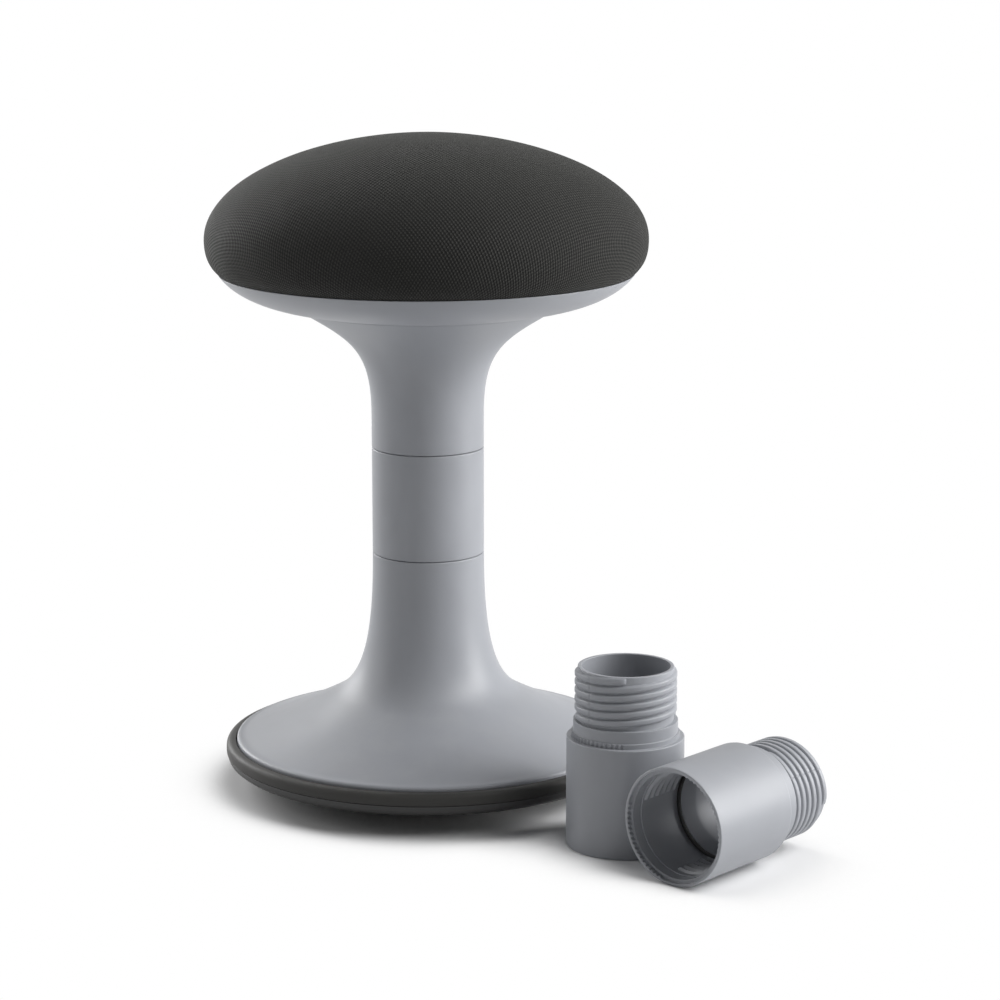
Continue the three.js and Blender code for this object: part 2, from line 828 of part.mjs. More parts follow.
const lying = new THREE.Group();
const rolled = sectionGroup("spare_section_lying", "lying_stop_ring");
rolled.rotation.z = THREE.MathUtils.degToRad(lyingRoll);
lying.add(rolled);
lying.position.set(lyingMouth.x, lyingMouth.y, columnRadius);
lying.rotation.set(0, Math.PI / 2, heading, "ZYX");
stool.add(lying);

export default stool;
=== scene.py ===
"""Wobble stool with two spare column sections: finished meshes, materials and a plain studio."""

import math

import bmesh
import bpy
from bpy.props import FloatProperty, FloatVectorProperty, IntProperty, PointerProperty
from mathutils import Matrix, Vector, noise


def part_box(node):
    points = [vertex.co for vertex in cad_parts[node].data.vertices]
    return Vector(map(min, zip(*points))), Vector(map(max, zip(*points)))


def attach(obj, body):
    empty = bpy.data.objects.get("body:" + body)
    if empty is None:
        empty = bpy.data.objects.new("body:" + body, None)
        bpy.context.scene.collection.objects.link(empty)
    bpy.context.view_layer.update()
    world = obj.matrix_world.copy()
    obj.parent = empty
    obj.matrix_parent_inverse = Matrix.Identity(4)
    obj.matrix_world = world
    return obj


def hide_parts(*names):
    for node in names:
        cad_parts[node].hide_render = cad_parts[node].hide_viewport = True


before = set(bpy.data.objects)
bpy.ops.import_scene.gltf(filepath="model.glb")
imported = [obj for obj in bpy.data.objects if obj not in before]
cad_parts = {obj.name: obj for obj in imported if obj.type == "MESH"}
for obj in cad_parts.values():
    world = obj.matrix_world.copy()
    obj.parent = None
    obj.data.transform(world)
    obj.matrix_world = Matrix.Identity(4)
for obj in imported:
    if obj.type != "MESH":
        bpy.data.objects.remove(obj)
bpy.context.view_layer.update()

bl_info = {
    "name": "Wobble Stool",
    "version": (1, 0, 0),
    "blender": (4, 5, 0),
    "location": "View3D > Sidebar > Stool",
    "description": "Builds a wobble stool, its spare column sections and their materials",
    "category": "Add Mesh",
}

MM = 0.001
TURN = 2 * math.pi
WELD = 0.001 * MM
OVERRUN = 1 * MM
SMOOTH_ANGLE = math.radians(40)

# Faces round a piece
BAR_COLUMNS = 32
SCREW_COLUMNS = 40
RING_COLUMNS = 96
CLOTH_COLUMNS = 192
RIM_COLUMNS = 256

# Places taken from the frame
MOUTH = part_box("extension_section")[0].z
UPPER_MOUTH, DISH_TOP = (corner.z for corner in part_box("upper_shell"))
RING_BOTTOM, RING_TOP = (corner.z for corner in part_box("rim_ring"))
RING_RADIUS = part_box("rim_ring")[1].x
PLATE_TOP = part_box("bottom_plate")[1].z
PLATE_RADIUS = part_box("bottom_plate")[1].x
HEM_HEIGHT, CROWN_TOP = (corner.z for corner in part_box("seat_cover"))
BOARD_BOTTOM, BOARD_TOP = (corner.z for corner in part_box("seat_board"))
BOARD_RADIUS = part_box("seat_board")[1].x
SCREW_LOW, SCREW_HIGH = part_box("base_screw_1")
SCREW_CIRCLE = (SCREW_LOW.x + SCREW_HIGH.x) / 2
BOLT_CIRCLE = sum(corner.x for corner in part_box("seat_bolt_1")) / 2

# Curves of the shells and the seat, as shares of the way between their ends
CONE_SHARE = (0.545, 0.42)
FLARE_SHARES = ((0.61, 0.096), (1, 0.276))
FUNNEL_SHARES = ((0, 0.595), (0.238, 0.7))
DISH_SHARES = ((0.084, 0.054), (0.702, 0.131))
LAP_SHARES = ((0.5, 0.19), (1, 0.42))
CROWN_SHARES = ((1, 0.58), (0.478, 1))


def length(label, about, millimetres):
    """A length property whose default is given in millimetres."""
    return FloatProperty(
        name=label, description=about, default=millimetres * MM, min=0, unit="LENGTH"
    )


def angle(label, about, degrees):
    """An angle property whose default is given in degrees."""
    return FloatProperty(
        name=label, description=about, default=math.radians(degrees), subtype="ANGLE"
    )


def amount(label, about, number):
    """A property that counts things."""
    return IntProperty(name=label, description=about, default=number)


def colour(label, about, shade):
    """A colour property, in linear red, green and blue."""
    return FloatVectorProperty(
        name=label, description=about, default=shade, min=0, max=1, size=3, subtype="COLOR"
    )


class StoolSizes(bpy.types.PropertyGroup):
    """Sizes of the shells, the rim and the seat"""

    column: length("Column radius", "Outside of the column", 42.5)
    section: length("Section length", "From a section's mouth to its ledge", 80.9)
    seam: length("Seam", "Gap between two screwed sections", 0.4)
    wall: length("Wall", "Thickness of the shells", 2.6)
    edge: length("Edge rounding", "Rounding of the sections' outer edges", 0.8)
    base_edge: length("Base edge radius", "Upright edge of the base shell", 148.2)
    base_edge_height: length("Base edge height", "Upright part of the base's edge", 8.3)
    base_edge_round: length("Base edge rounding", "Width of the rounding above the edge", 4.4)
    base_edge_crown: length("Base edge crown", "Height of the rounding above the edge", 2.3)
    waist_spread: length("Waist spread", "From the column out to the base's waist", 31.9)
    waist_rise: length("Waist rise", "From the cone's foot up to the waist", 30.4)
    crease: length("Crease radius", "Faint line between the funnel and the dish", 98.75)
    crease_drop: length("Crease drop", "From the dish's lip down to the crease", 26)
    funnel_straight: length("Funnel straight", "Straight column above the upper mouth", 23.7)
    lip: length("Lip radius", "Lip of the dish under the seat", 156.35)
    foot: length("Foot radius", "Flat foot of the bottom plate", 45)
    dome: length("Dome radius", "Outer end of the bottom plate's dome", 150.8)
    dome_rise: length("Dome rise", "Height of the bottom plate's dome", 16.8)
    plate_wall: length("Plate wall", "Thickness of the bottom plate", 3)
    widest: length("Seat radius", "Widest part of the seat cover", 166.1)
    widest_rise: length("Widest rise", "From the lip up to the widest part", 24.8)
    tuck: length("Tuck radius", "Where the cover goes inside the lip", 151.8)
    cover_lift: length("Cover lift", "Gap between the lip's top and the cover", 0.45)
    cover_wall: length("Cover thickness", "Fabric with its backing", 1.5)
    crease_groove: length("Crease groove", "Half width and depth of the line at the crease", 0.45)
    standing_turn: angle("Standing turn", "Turn of the standing spare", -2)
    lying_turn: angle("Lying turn", "Heading of the lying spare", 48.4)
    lying_roll: angle("Lying roll", "Roll of the lying spare about its own axis", 13)
    columns: amount("Columns", "Faces round a threaded piece, four to a tooth", 272)


class StoolJoint(bpy.types.PropertyGroup):
    """Sizes of the screwed joint: heights from the spigot's ledge, depths from the socket's mouth"""

    ratchet: length("Ratchet height", "Toothed ring above the ledge", 3.6)
    collar_end: length("Collar end", "Top of the plain collar", 12.35)
    ridge_start: length("First ridge", "Middle of the first ridge at its start", 15.05)
    height: length("Spigot height", "From the ledge to the spigot's end", 51.55)
    spacing: length("Ridge spacing", "From one ridge to the next", 6.2)
    ridge_width: length("Ridge width", "Width of a ridge at its foot", 5.2)
    inner_width: length("Inner ridge width", "Width of a socket's ridge at its foot", 2)
    tip_inside: length("Inside tooth tip", "Tips of the socket's teeth", 39.5)
    tip_outside: length("Outside tooth tip", "Tips of the spigot's teeth", 39.1)
    tooth: length("Tooth depth", "Depth of the ratchet teeth", 0.9)
    collar: length("Collar radius", "Plain collar of the spigot", 37.7)
    register: length("Register radius", "Plain hollow round the collar", 38)
    root: length("Root radius", "Spigot between its ridges", 34.6)
    depth: length("Thread depth", "How far the ridges stand out", 2.2)
    thread_bore: length("Socket radius", "Socket between its ridges", 37.4)
    bore: length("Bore radius", "Hollow through the spigot", 31.8)
    ring_inside: length("Stop ring inside", "Inner radius of the stop ring", 34.6)
    ring_outside: length("Stop ring outside", "Outer radius of the stop ring", 37.1)
    ring_height: length("Stop ring height", "Thickness of the stop ring", 2)
    gap: length("Fit gap", "Clearance at the socket's steps", 0.3)
    cone: length("Cone height", "Cone behind the socket", 13)
    turns: FloatProperty(name="Thread turns", description="Turns of each ridge", default=2.75)
    teeth: amount("Teeth", "Teeth on each quarter of the ratchet", 17)
    starts: amount("Starts", "Ridges that start side by side", 2)


class StoolFixings(bpy.types.PropertyGroup):
    """Sizes of the ribs, bosses and screws inside the shells"""

    screws: amount("Screws", "Screws up through the plate", 6)
    screw: length("Screw radius", "Shank of a screw", 2)
    head: length("Head radius", "Head of a screw", 4.2)
    head_height: length("Head height", "Height of a screw's head", 2.4)
    recess: length("Cross recess", "Reach of the recess in a screw's head", 2.4)
    recess_width: length("Recess width", "Width of the recess in a screw's head", 0.8)
    play: length("Screw clearance", "Air round a screw and its head", 0.3)
    boss_wall: length("Boss wall", "Wall round a screw in the base shell", 3)
    post_wall: length("Post wall", "Wall round a screw's head in the plate", 2.6)
    post_height: length("Post height", "Posts above the plate's inside", 5)
    post_floor: length("Post floor", "Thickness under a screw's head", 4)
    rib: length("Rib thickness", "Ribs inside both shells", 2.4)
    rib_lift: length("Rib lift", "From the base shell's bottom up to its ribs", 3.3)
    seat_ribs: amount("Seat ribs", "Ribs inside the dish", 8)
    bolts: amount("Bolts", "Bolts up into the board", 4)
    bolt_hole: length("Bolt hole", "Holes for the bolts", 3.4)
    pillar_wall: length("Pillar wall", "Wall of the pillars round the bolts", 3.1)
    web: length("Web", "Floor of the funnel above the socket", 5)
    hem: length("Hem width", "Cover turned in under the board", 16)


class StoolColours(bpy.types.PropertyGroup):
    """Base colours of the materials"""

    shell: colour("Shell", "Light grey moulded plastic", (0.324, 0.335, 0.362))
    rubber: colour("Rim rubber", "Dark grey rubber", (0.032, 0.031, 0.029))
    plate: colour("Bottom plate", "Charcoal plastic", (0.026, 0.026, 0.026))
    buffer: colour("Stop rings", "Black rubber", (0.008, 0.008, 0.008))
    fabric: colour("Fabric", "Near-black yarn", (0.032, 0.0316, 0.0284))
    foam: colour("Foam", "Cream foam", (0.62, 0.55, 0.4))
    plywood: colour("Plywood", "Bare birch plywood", (0.5, 0.34, 0.17))
    steel: colour("Steel", "Zinc-plated steel", (0.5, 0.51, 0.53))


def sizes():
    return bpy.context.scene.stool_sizes


def joint():
    return bpy.context.scene.stool_joint


def fixings():
    return bpy.context.scene.stool_fixings


def colours():
    return bpy.context.scene.stool_colours


def lead():
    """Rise of the thread in one turn."""
    return joint().spacing * joint().starts


def ledge():
    """Height of the base's ledge, one seam below the section's mouth."""
    return MOUTH - sizes().seam


# Outlines in radius and height

# Steps of a rounded corner, and how many roundings off it the points lie that hold it
ARC_STEPS = 3
SUPPORT = 1.5


def point(radius, height):
    """A point of an outline."""
    return Vector((radius, height))


def between(start, end, share):
    """The point at a pair of shares of the way, across and up."""
    return point(
        start.x + (end.x - start.x) * share[0],
        start.y + (end.y - start.y) * share[1],
    )


def cubic(start, first, second, end, steps):
    """Points of a cubic curve with two handles."""
    points = []
    for i in range(steps + 1):
        t = i / steps
        u = 1 - t
        points.append(
            u ** 3 * start + 3 * u * u * t * first + 3 * u * t * t * second + t ** 3 * end
        )
    return points


def bezier(start, shares, end, steps):
    """Points of a cubic curve whose two handles are shares of the way to its end."""
    first, second = (between(start, end, share) for share in shares)
    return cubic(start, first, second, end, steps)


def bend(start, control, end, steps):
    """Points of a quadratic curve."""
    points = []
    for i in range(steps + 1):
        t = i / steps
        points.append((1 - t) ** 2 * start + 2 * t * (1 - t) * control + t * t * end)
    return points


def rounded(corners):
    """An outline whose corners (radius, height, rounding) become arcs between support points."""
    points = []
    for i, (radius, height, rounding) in enumerate(corners):
        here = point(radius, height)
        if rounding == 0:
            points.append(here)
            continue
        before = point(*corners[i - 1][:2]) - here
        after = point(*corners[(i + 1) % len(corners)][:2]) - here
        back = before.normalized() * min(rounding, before.length / 2)
        on = after.normalized() * min(rounding, after.length / 2)
        if before.length > 2 * SUPPORT * rounding:
            points.append(here + back * SUPPORT)
        points += bend(here + back, here, here + on, ARC_STEPS)
        if after.length > 2 * SUPPORT * rounding:
            points.append(here + on * SUPPORT)
    return points


def plain(points):
    """Curve points as corners without rounding."""
    return [(p.x, p.y, 0) for p in points]


def inset(outline, wall):
    """An outline moved to its left by a wall, mitred at its corners."""
    normals = []
    for here, there in zip(outline, outline[1:]):
        along = (there - here).normalized()
        normals.append(point(-along.y, along.x))
    moved = []
    for i, here in enumerate(outline):
        before = normals[max(i - 1, 0)]
        after = normals[min(i, len(normals) - 1)]
        mitre = (before + after) * (wall / (1 + before.dot(after)))
        moved.append(point(max(here.x + mitre.x, 0), here.y + mitre.y))
    return moved


def stepped(points, inside, step):
    """Adds points to an outline's stretches that lie inside a zone, no further apart than a step."""
    result = []
    for here, there in zip(points, points[1:] + points[:1]):
        result.append(here)
        if inside((here + there) / 2):
            count = math.ceil((there - here).length / step)
            result += [here.lerp(there, k / count) for k in range(1, count)]
    return result


# Meshes


def spun(outline, columns, closed=True, reaches=()):
    """A surface of revolution about Z, its outline closed on itself or from axis to axis.

    The reaches are the outline's distances along the cloth from its middle, kept for a weave map.
    """
    mesh = bmesh.new()
    layer = mesh.verts.layers.float.new("reach")
    verts = [mesh.verts.new((p.x, 0, p.y)) for p in outline]
    for vert, reach in zip(verts, reaches):
        vert[layer] = reach
    edges = [mesh.edges.new(pair) for pair in zip(verts, verts[1:])]
    if closed:
        edges.append(mesh.edges.new((verts[-1], verts[0])))
    bmesh.ops.spin(
        mesh, geom=verts + edges, cent=(0, 0, 0), axis=(0, 0, 1), angle=TURN, steps=columns,
        use_merge=True,
    )
    bmesh.ops.remove_doubles(mesh, verts=mesh.verts, dist=WELD)
    bmesh.ops.recalc_face_normals(mesh, faces=mesh.faces)
    return mesh


def bar(radius, bottom, top):
    """A round bar about Z."""
    outline = [point(0, bottom), point(radius, bottom), point(radius, top), point(0, top)]
    return spun(outline, BAR_COLUMNS, closed=False)


def rib(outline, thickness):
    """A flat rib on edge, from its outline in radius and height."""
    mesh = bmesh.new()
    side = mesh.faces.new([mesh.verts.new((p.x, -thickness / 2, p.y)) for p in outline])
    grown = bmesh.ops.extrude_face_region(mesh, geom=[side])["geom"]
    verts = [element for element in grown if isinstance(element, bmesh.types.BMVert)]
    bmesh.ops.translate(mesh, verts=verts, vec=(0, thickness, 0))
    bmesh.ops.recalc_face_normals(mesh, faces=mesh.faces)
    return mesh


def ring_of(mesh, count, radius=0, first_turn=0):
    """Copies of a solid round the axis, in one mesh."""
    bmesh.ops.translate(mesh, verts=mesh.verts, vec=(radius, 0, 0))
    first = Matrix.Rotation(first_turn * TURN, 3, "Z")
    bmesh.ops.rotate(mesh, verts=mesh.verts, cent=(0, 0, 0), matrix=first)
    bmesh.ops.spin(
        mesh, geom=[*mesh.verts, *mesh.edges, *mesh.faces], cent=(0, 0, 0), axis=(0, 0, 1),
        angle=TURN * (count - 1) / count, steps=count - 1, use_duplicate=True,
    )
    return mesh


def trimmed(mesh, place, normal):
    """A solid cut off at a plane and closed there."""
    whole = [*mesh.verts, *mesh.edges, *mesh.faces]
    bmesh.ops.bisect_plane(mesh, geom=whole, plane_co=place, plane_no=normal, clear_outer=True)
    bmesh.ops.holes_fill(mesh, edges=[edge for edge in mesh.edges if edge.is_boundary])
    bmesh.ops.recalc_face_normals(mesh, faces=mesh.faces)
    return mesh


def new_object(name, mesh):
    """An object of a bmesh, which is freed."""
    data = bpy.data.meshes.new(name)
    mesh.to_mesh(data)
    mesh.free()
    made = bpy.data.objects.new(name, data)
    bpy.context.scene.collection.objects.link(made)
    return made


def combined(mesh, joined=(), removed=()):
    """A closed bmesh with some closed ones joined to it and others cut out of it."""
    body = new_object("passing", mesh)
    passing = [body]
    for operation, solids in (("UNION", joined), ("DIFFERENCE", removed)):
        for solid in solids:
            passing.append(new_object("passing", solid))
            boolean = body.modifiers.new(operation, "BOOLEAN")
            boolean.solver = "MANIFOLD"
            boolean.operation = operation
            boolean.object = passing[-1]
    result = bmesh.new()
    result.from_object(body, bpy.context.evaluated_depsgraph_get())
    for item in passing:
        data = item.data
        bpy.data.objects.remove(item)
        bpy.data.meshes.remove(data)
    if not result.faces:
        raise RuntimeError("A boolean left nothing of its solid")
    return result


def reshape(mesh, *moves):
    """Moves each vertex along its radius, as each rule says from its radius, turn and height."""
    for vert in mesh.verts:
        x, y, height = vert.co
        old = math.hypot(x, y)
        turn = math.atan2(y, x) / TURN % 1
        new = old
        for move in moves:
            new = move(new, turn, height)
        if new != old:
            vert.co.x = x * new / old
            vert.co.y = y * new / old


def piece(name, mesh, material, body, nodes):
    """A finished object of a bmesh, which rides on a body and stands for CAD nodes."""
    for face in mesh.faces:
        face.smooth = True
    finished = new_object(name, mesh)
    finished.data.set_sharp_from_angle(angle=SMOOTH_ANGLE)
    finished.data.materials.append(material)
    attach(finished, body)
    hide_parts(*nodes)
    return finished


# Screwed joint

# The pattern repeats each half turn, and the nudge keeps the columns off the teeth's edges
PATTERN_TURN = 0.5
TOOTH_QUARTER = 0.25
TOOTH_NUDGE = 0.1
TOOTH_SHARE = 0.5

# How near to a surface a vertex has to be to move with it, and how fine the rows are
NEAR = 0.2 * MM
THREAD_STEP = 0.45 * MM
SOCKET_STEP = 0.5 * MM

# Parting lines of the mould, where the spigot's ridges are a little lower
PARTING_TURNS = (0.125, 0.625)
PARTING_WIDTH = 0.003
PARTING_LOSS = 0.2

# The ridges' ends, in turns, and how full the ridges are across
OUTER_FADE = 0.045
INNER_FADE = 0.012
OUTER_FULLNESS = 5
INNER_FULLNESS = 2.2

# Corners of the joint
LEDGE_FILLET = 0.15 * MM
RATCHET_ROUND = 0.25 * MM
COLLAR_FILLET = 0.2 * MM
COLLAR_ROUND = 0.35 * MM
END_ROUND = 0.6 * MM
END_BREAK = 0.5 * MM
SOCKET_FILLET = 0.2 * MM
SOCKET_BREAK = 0.3 * MM
THROAT_ROUND = 1.5 * MM
STOP_ROUND = 0.5 * MM


def between_teeth(turn, teeth):
    """True between two teeth of the toothed quarters."""
    along = turn % PATTERN_TURN
    if along >= TOOTH_QUARTER:
        return False
    return (along / TOOTH_QUARTER * teeth + TOOTH_NUDGE) % 1 < TOOTH_SHARE


def end_share(along, full, fade):
    """1 along a ridge's middle, down to 0 over a rounded end."""
    inside = min(along, full - along) / fade
    if inside <= 0:
        return 0
    return math.sqrt(1 - (1 - min(inside, 1)) ** 2)


def outer_ridges():
    """A rule for the spigot's ridges: their share of the thread's depth at a turn and a height."""
    j = joint()
    starts = [start / j.starts for start in range(j.starts)]
    turns, first, half, rise = j.turns, j.ridge_start, j.ridge_width / 2, lead()

    def share(turn, up):
        for start in starts:
            own = turn - start
            along = own + round((up - first) / rise - own)
            off = abs(up - first - rise * along) / half
            if off < 1 and 0 < along < turns:
                full = (1 - off ** OUTER_FULLNESS) * end_share(along, turns, OUTER_FADE)
                if any(abs(turn - line) < PARTING_WIDTH for line in PARTING_TURNS):
                    full *= 1 - PARTING_LOSS
                return full
        return 0

    return share


def spigot_rule(foot):
    """How a spigot's vertices move: notches in the ratchet ring and ridges on the thread."""
    j = joint()
    ridge = outer_ridges()
    teeth, tooth, depth = j.teeth, j.tooth, j.depth
    ring_low, ring_high = j.tip_outside - 2 * NEAR, j.tip_outside + NEAR
    ring_top = j.ratchet + NEAR
    root_low, root_high = j.root - NEAR / 4, j.root + NEAR
    thread_low, thread_high = j.collar_end, j.height

    def move(radius, turn, height):
        up = height - foot
        if root_low < radius < root_high and thread_low < up < thread_high:
            return radius + depth * ridge(turn, up)
        if ring_low < radius < ring_high and -NEAR < up < ring_top and between_teeth(turn, teeth):
            return radius - tooth
        return radius

    return move


def socket_rule(mouth):
    """How a socket's vertices move: teeth behind its lip and ridges in its bore."""
    j = joint()
    teeth, tooth, depth, spacing = j.teeth, j.tooth, j.depth, j.spacing
    root, ratchet = j.tip_inside + j.tooth, j.ratchet + NEAR
    bore, half, rise = j.thread_bore, j.inner_width / 2, lead()
    step = j.collar_end
    first = j.ridge_start - sizes().seam - j.spacing / 2 + rise * TOOTH_QUARTER
    last = j.height - rise * TOOTH_QUARTER - j.inner_width

    def move(radius, turn, height):
        inward = height - mouth
        if NEAR < inward < ratchet and abs(radius - root) < 2 * NEAR:
            hollow = turn % PATTERN_TURN >= TOOTH_QUARTER or between_teeth(turn, teeth)
            return radius if hollow else radius - tooth
        along = turn % PATTERN_TURN - TOOTH_QUARTER
        if abs(radius - bore) > NEAR / 2 or inward < step or along <= 0:
            return radius
        line = first + rise * along
        line += round((inward - line) / spacing) * spacing
        off = abs(inward - line) / half
        start = line - rise * along
        if off >= 1 or start < first - NEAR or start > last:
            return radius
        full = (1 - off ** INNER_FULLNESS) * end_share(along, TOOTH_QUARTER, INNER_FADE)
        return radius - depth * full

    return move


def spigot_corners(foot):
    """Corners of a spigot's outside, from its ledge up to its end and into its bore."""
    j = joint()
    return [
        (j.tip_outside, foot, LEDGE_FILLET),
        (j.tip_outside, foot + j.ratchet, RATCHET_ROUND),
        (j.collar, foot + j.ratchet, COLLAR_FILLET),
        (j.collar, foot + j.collar_end, COLLAR_ROUND),
        (j.root, foot + j.collar_end, COLLAR_FILLET),
        (j.root, foot + j.height, END_ROUND),
        (j.bore, foot + j.height, END_BREAK),
    ]


def socket_bottom(mouth):
    """Height of a socket's bottom, with room for its stop ring over the spigot's end."""
    j = joint()
    return mouth + j.height - sizes().seam + j.ring_height + 2 * j.gap


def socket_corners(mouth):
    """Corners of a socket's hollow, from its bottom down to its lip."""
    j = joint()
    seam = sizes().seam
    step = mouth + j.collar_end - seam + j.gap
    root = j.tip_inside + j.tooth
    shelf = mouth + j.ratchet - seam + j.gap
    return [
        (j.thread_bore, socket_bottom(mouth), SOCKET_BREAK),
        (j.thread_bore, step, SOCKET_FILLET),
        (j.register, step, SOCKET_FILLET),
        (j.register, shelf, SOCKET_FILLET),
        (root, shelf, LEDGE_FILLET),
        (root, mouth, SOCKET_BREAK),
    ]


def with_rows(points, spigots=(), sockets=()):
    """Fine rows on each thread, and a few on each ratchet."""
    j = joint()
    for foot in spigots:
        points = stepped(
            points,
            lambda p: abs(p.x - j.root) < WELD and p.y > foot + j.collar_end,
            THREAD_STEP,
        )
    for mouth in sockets:
        points = stepped(
            points,
            lambda p: abs(p.x - j.thread_bore) < WELD and p.y > mouth + j.collar_end,
            SOCKET_STEP,
        )
        points = stepped(
            points,
            lambda p: abs(p.x - j.tip_inside - j.tooth) < WELD and p.y < mouth + j.ratchet,
            SOCKET_STEP,
        )
    return points


def section_mesh():
    """A column section with its mouth at height zero and its spigot up."""
    s = sizes()
    j = joint()
    bottom = socket_bottom(0)
    corners = [
        (s.column, 0, s.edge),
        (s.column, s.section, s.edge),
        *spigot_corners(s.section),
        (j.bore, bottom + j.cone, THROAT_ROUND),
        (j.ring_inside, bottom, SOCKET_BREAK),
        *socket_corners(0),
    ]
    mesh = spun(with_rows(rounded(corners), [s.section], [0]), s.columns)
    reshape(mesh, spigot_rule(s.section), socket_rule(0))
    return mesh


def standing_place():
    """The standing section's turn and place, from its stop ring."""
    low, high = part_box("standing_stop_ring")
    middle = (low + high) / 2
    turned = Matrix.Rotation(sizes().standing_turn, 4, "Z")
    return Matrix.Translation((middle.x, middle.y, 0)) @ turned


def lying_place():
    """The lying section's turn and place, from the middle of its stop ring."""
    s = sizes()
    j = joint()
    low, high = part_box("lying_stop_ring")
    turned = (
        Matrix.Rotation(s.lying_turn, 4, "Z")
        @ Matrix.Rotation(TURN / 4, 4, "Y")
        @ Matrix.Rotation(s.lying_roll, 4, "Z")
    )
    ring_middle = Vector((0, 0, socket_bottom(0) - j.gap - j.ring_height / 2))
    return Matrix.Translation((low + high) / 2) @ turned @ Matrix.Translation(-ring_middle)


class STOOL_OT_sections(bpy.types.Operator):
    """Builds the mounted column section and the two spare ones"""

    bl_idname = "stool.sections"
    bl_label = "Column Sections"

    def execute(self, context):
        places = {
            "column_section": ("section", "extension_section", Matrix.Translation((0, 0, MOUTH))),
            "standing_section": ("standing_spare", "spare_section_standing", standing_place()),
            "lying_section": ("lying_spare", "spare_section_lying", lying_place()),
        }
        first = section_mesh()
        for name, (body, node, place) in places.items():
            mesh = first.copy()
            mesh.transform(place)
            piece(name, mesh, shell_plastic(), body, [node])
        first.free()
        return {"FINISHED"}


class STOOL_OT_stop_rings(bpy.types.Operator):
    """Builds the soft ring at the bottom of each socket"""

    bl_idname = "stool.stop_rings"
    bl_label = "Stop Rings"

    def execute(self, context):
        j = joint()
        bottom = socket_bottom(0) - j.gap - j.ring_height
        places = {
            "section_stop_ring": ("section_ring", Matrix.Translation((0, 0, MOUTH))),
            "seat_stop_ring": ("seat_ring", Matrix.Translation((0, 0, UPPER_MOUTH))),
            "standing_stop_ring": ("standing_spare", standing_place()),
            "lying_stop_ring": ("lying_spare", lying_place()),
        }
        corners = [
            (j.ring_inside, bottom, STOP_ROUND),
            (j.ring_outside, bottom, STOP_ROUND),
            (j.ring_outside, bottom + j.ring_height, STOP_ROUND),
            (j.ring_inside, bottom + j.ring_height, STOP_ROUND),
        ]
        for node, (body, place) in places.items():
            mesh = spun(rounded(corners), RING_COLUMNS)
            mesh.transform(place)
            name = node.replace("stop_ring", "buffer")
            piece(name, mesh, stop_rubber(), body, [node])
        return {"FINISHED"}


# Base

# The shell's bottom above the rubber ring's, and its curves
SHELL_LIFT = 1.7 * MM
SHELL_BREAK = 0.5 * MM
EDGE_STEPS = 6
CONE_STEPS = 26
FLARE_STEPS = 44

# The rubber ring, with a tongue under the shell's edge
RIM_PLAY = 0.8 * MM
RIM_FLANK = 3.4 * MM
RIM_CURVE = 3.6 * MM
RIM_CROWN = 5 * MM
RIM_ROUND = 0.7 * MM
RIM_BREAK = 0.5 * MM
RIM_STEPS = 8
TONGUE = 5 * MM
TONGUE_HEIGHT = 1.4 * MM
TONGUE_ROUND = 0.4 * MM
TONGUE_FILLET = 0.2 * MM

# The bottom plate: its dome, the wall under the ring's tongue, its outer edge and its posts
DOME_STEPS = 24
SUPPORT_INSET = 5 * MM
SUPPORT_ROUND = 0.8 * MM
SUPPORT_BREAK = 0.4 * MM
CHINE_OUT = 3.8 * MM
CHINE_UP = 2.8 * MM
CHINE_ROUND = 1.2 * MM
FLANK_BREAK = 0.5 * MM
POST_SINK_SHARE = 0.55

# The screws, with shares of their heads' radius and height
HEAD_TOP_SHARE = 0.62
HEAD_SIDE_SHARE = 0.55
HEAD_ROUND = 1 * MM
HEAD_SIDE_ROUND = 0.8 * MM
SHOULDER_BREAK = 0.15 * MM
TIP_ROUND = 0.4 * MM
RECESS_SHARE = 0.6


def dome_height(radius):
    """Height of the bottom plate's underside at a radius outside its foot."""
    s = sizes()
    return s.dome_rise * ((radius - s.foot) / (s.dome - s.foot)) ** 2


def post_top():
    """Top of the posts round the screws, inside the bottom plate."""
    return dome_height(SCREW_CIRCLE) + sizes().plate_wall + fixings().post_height


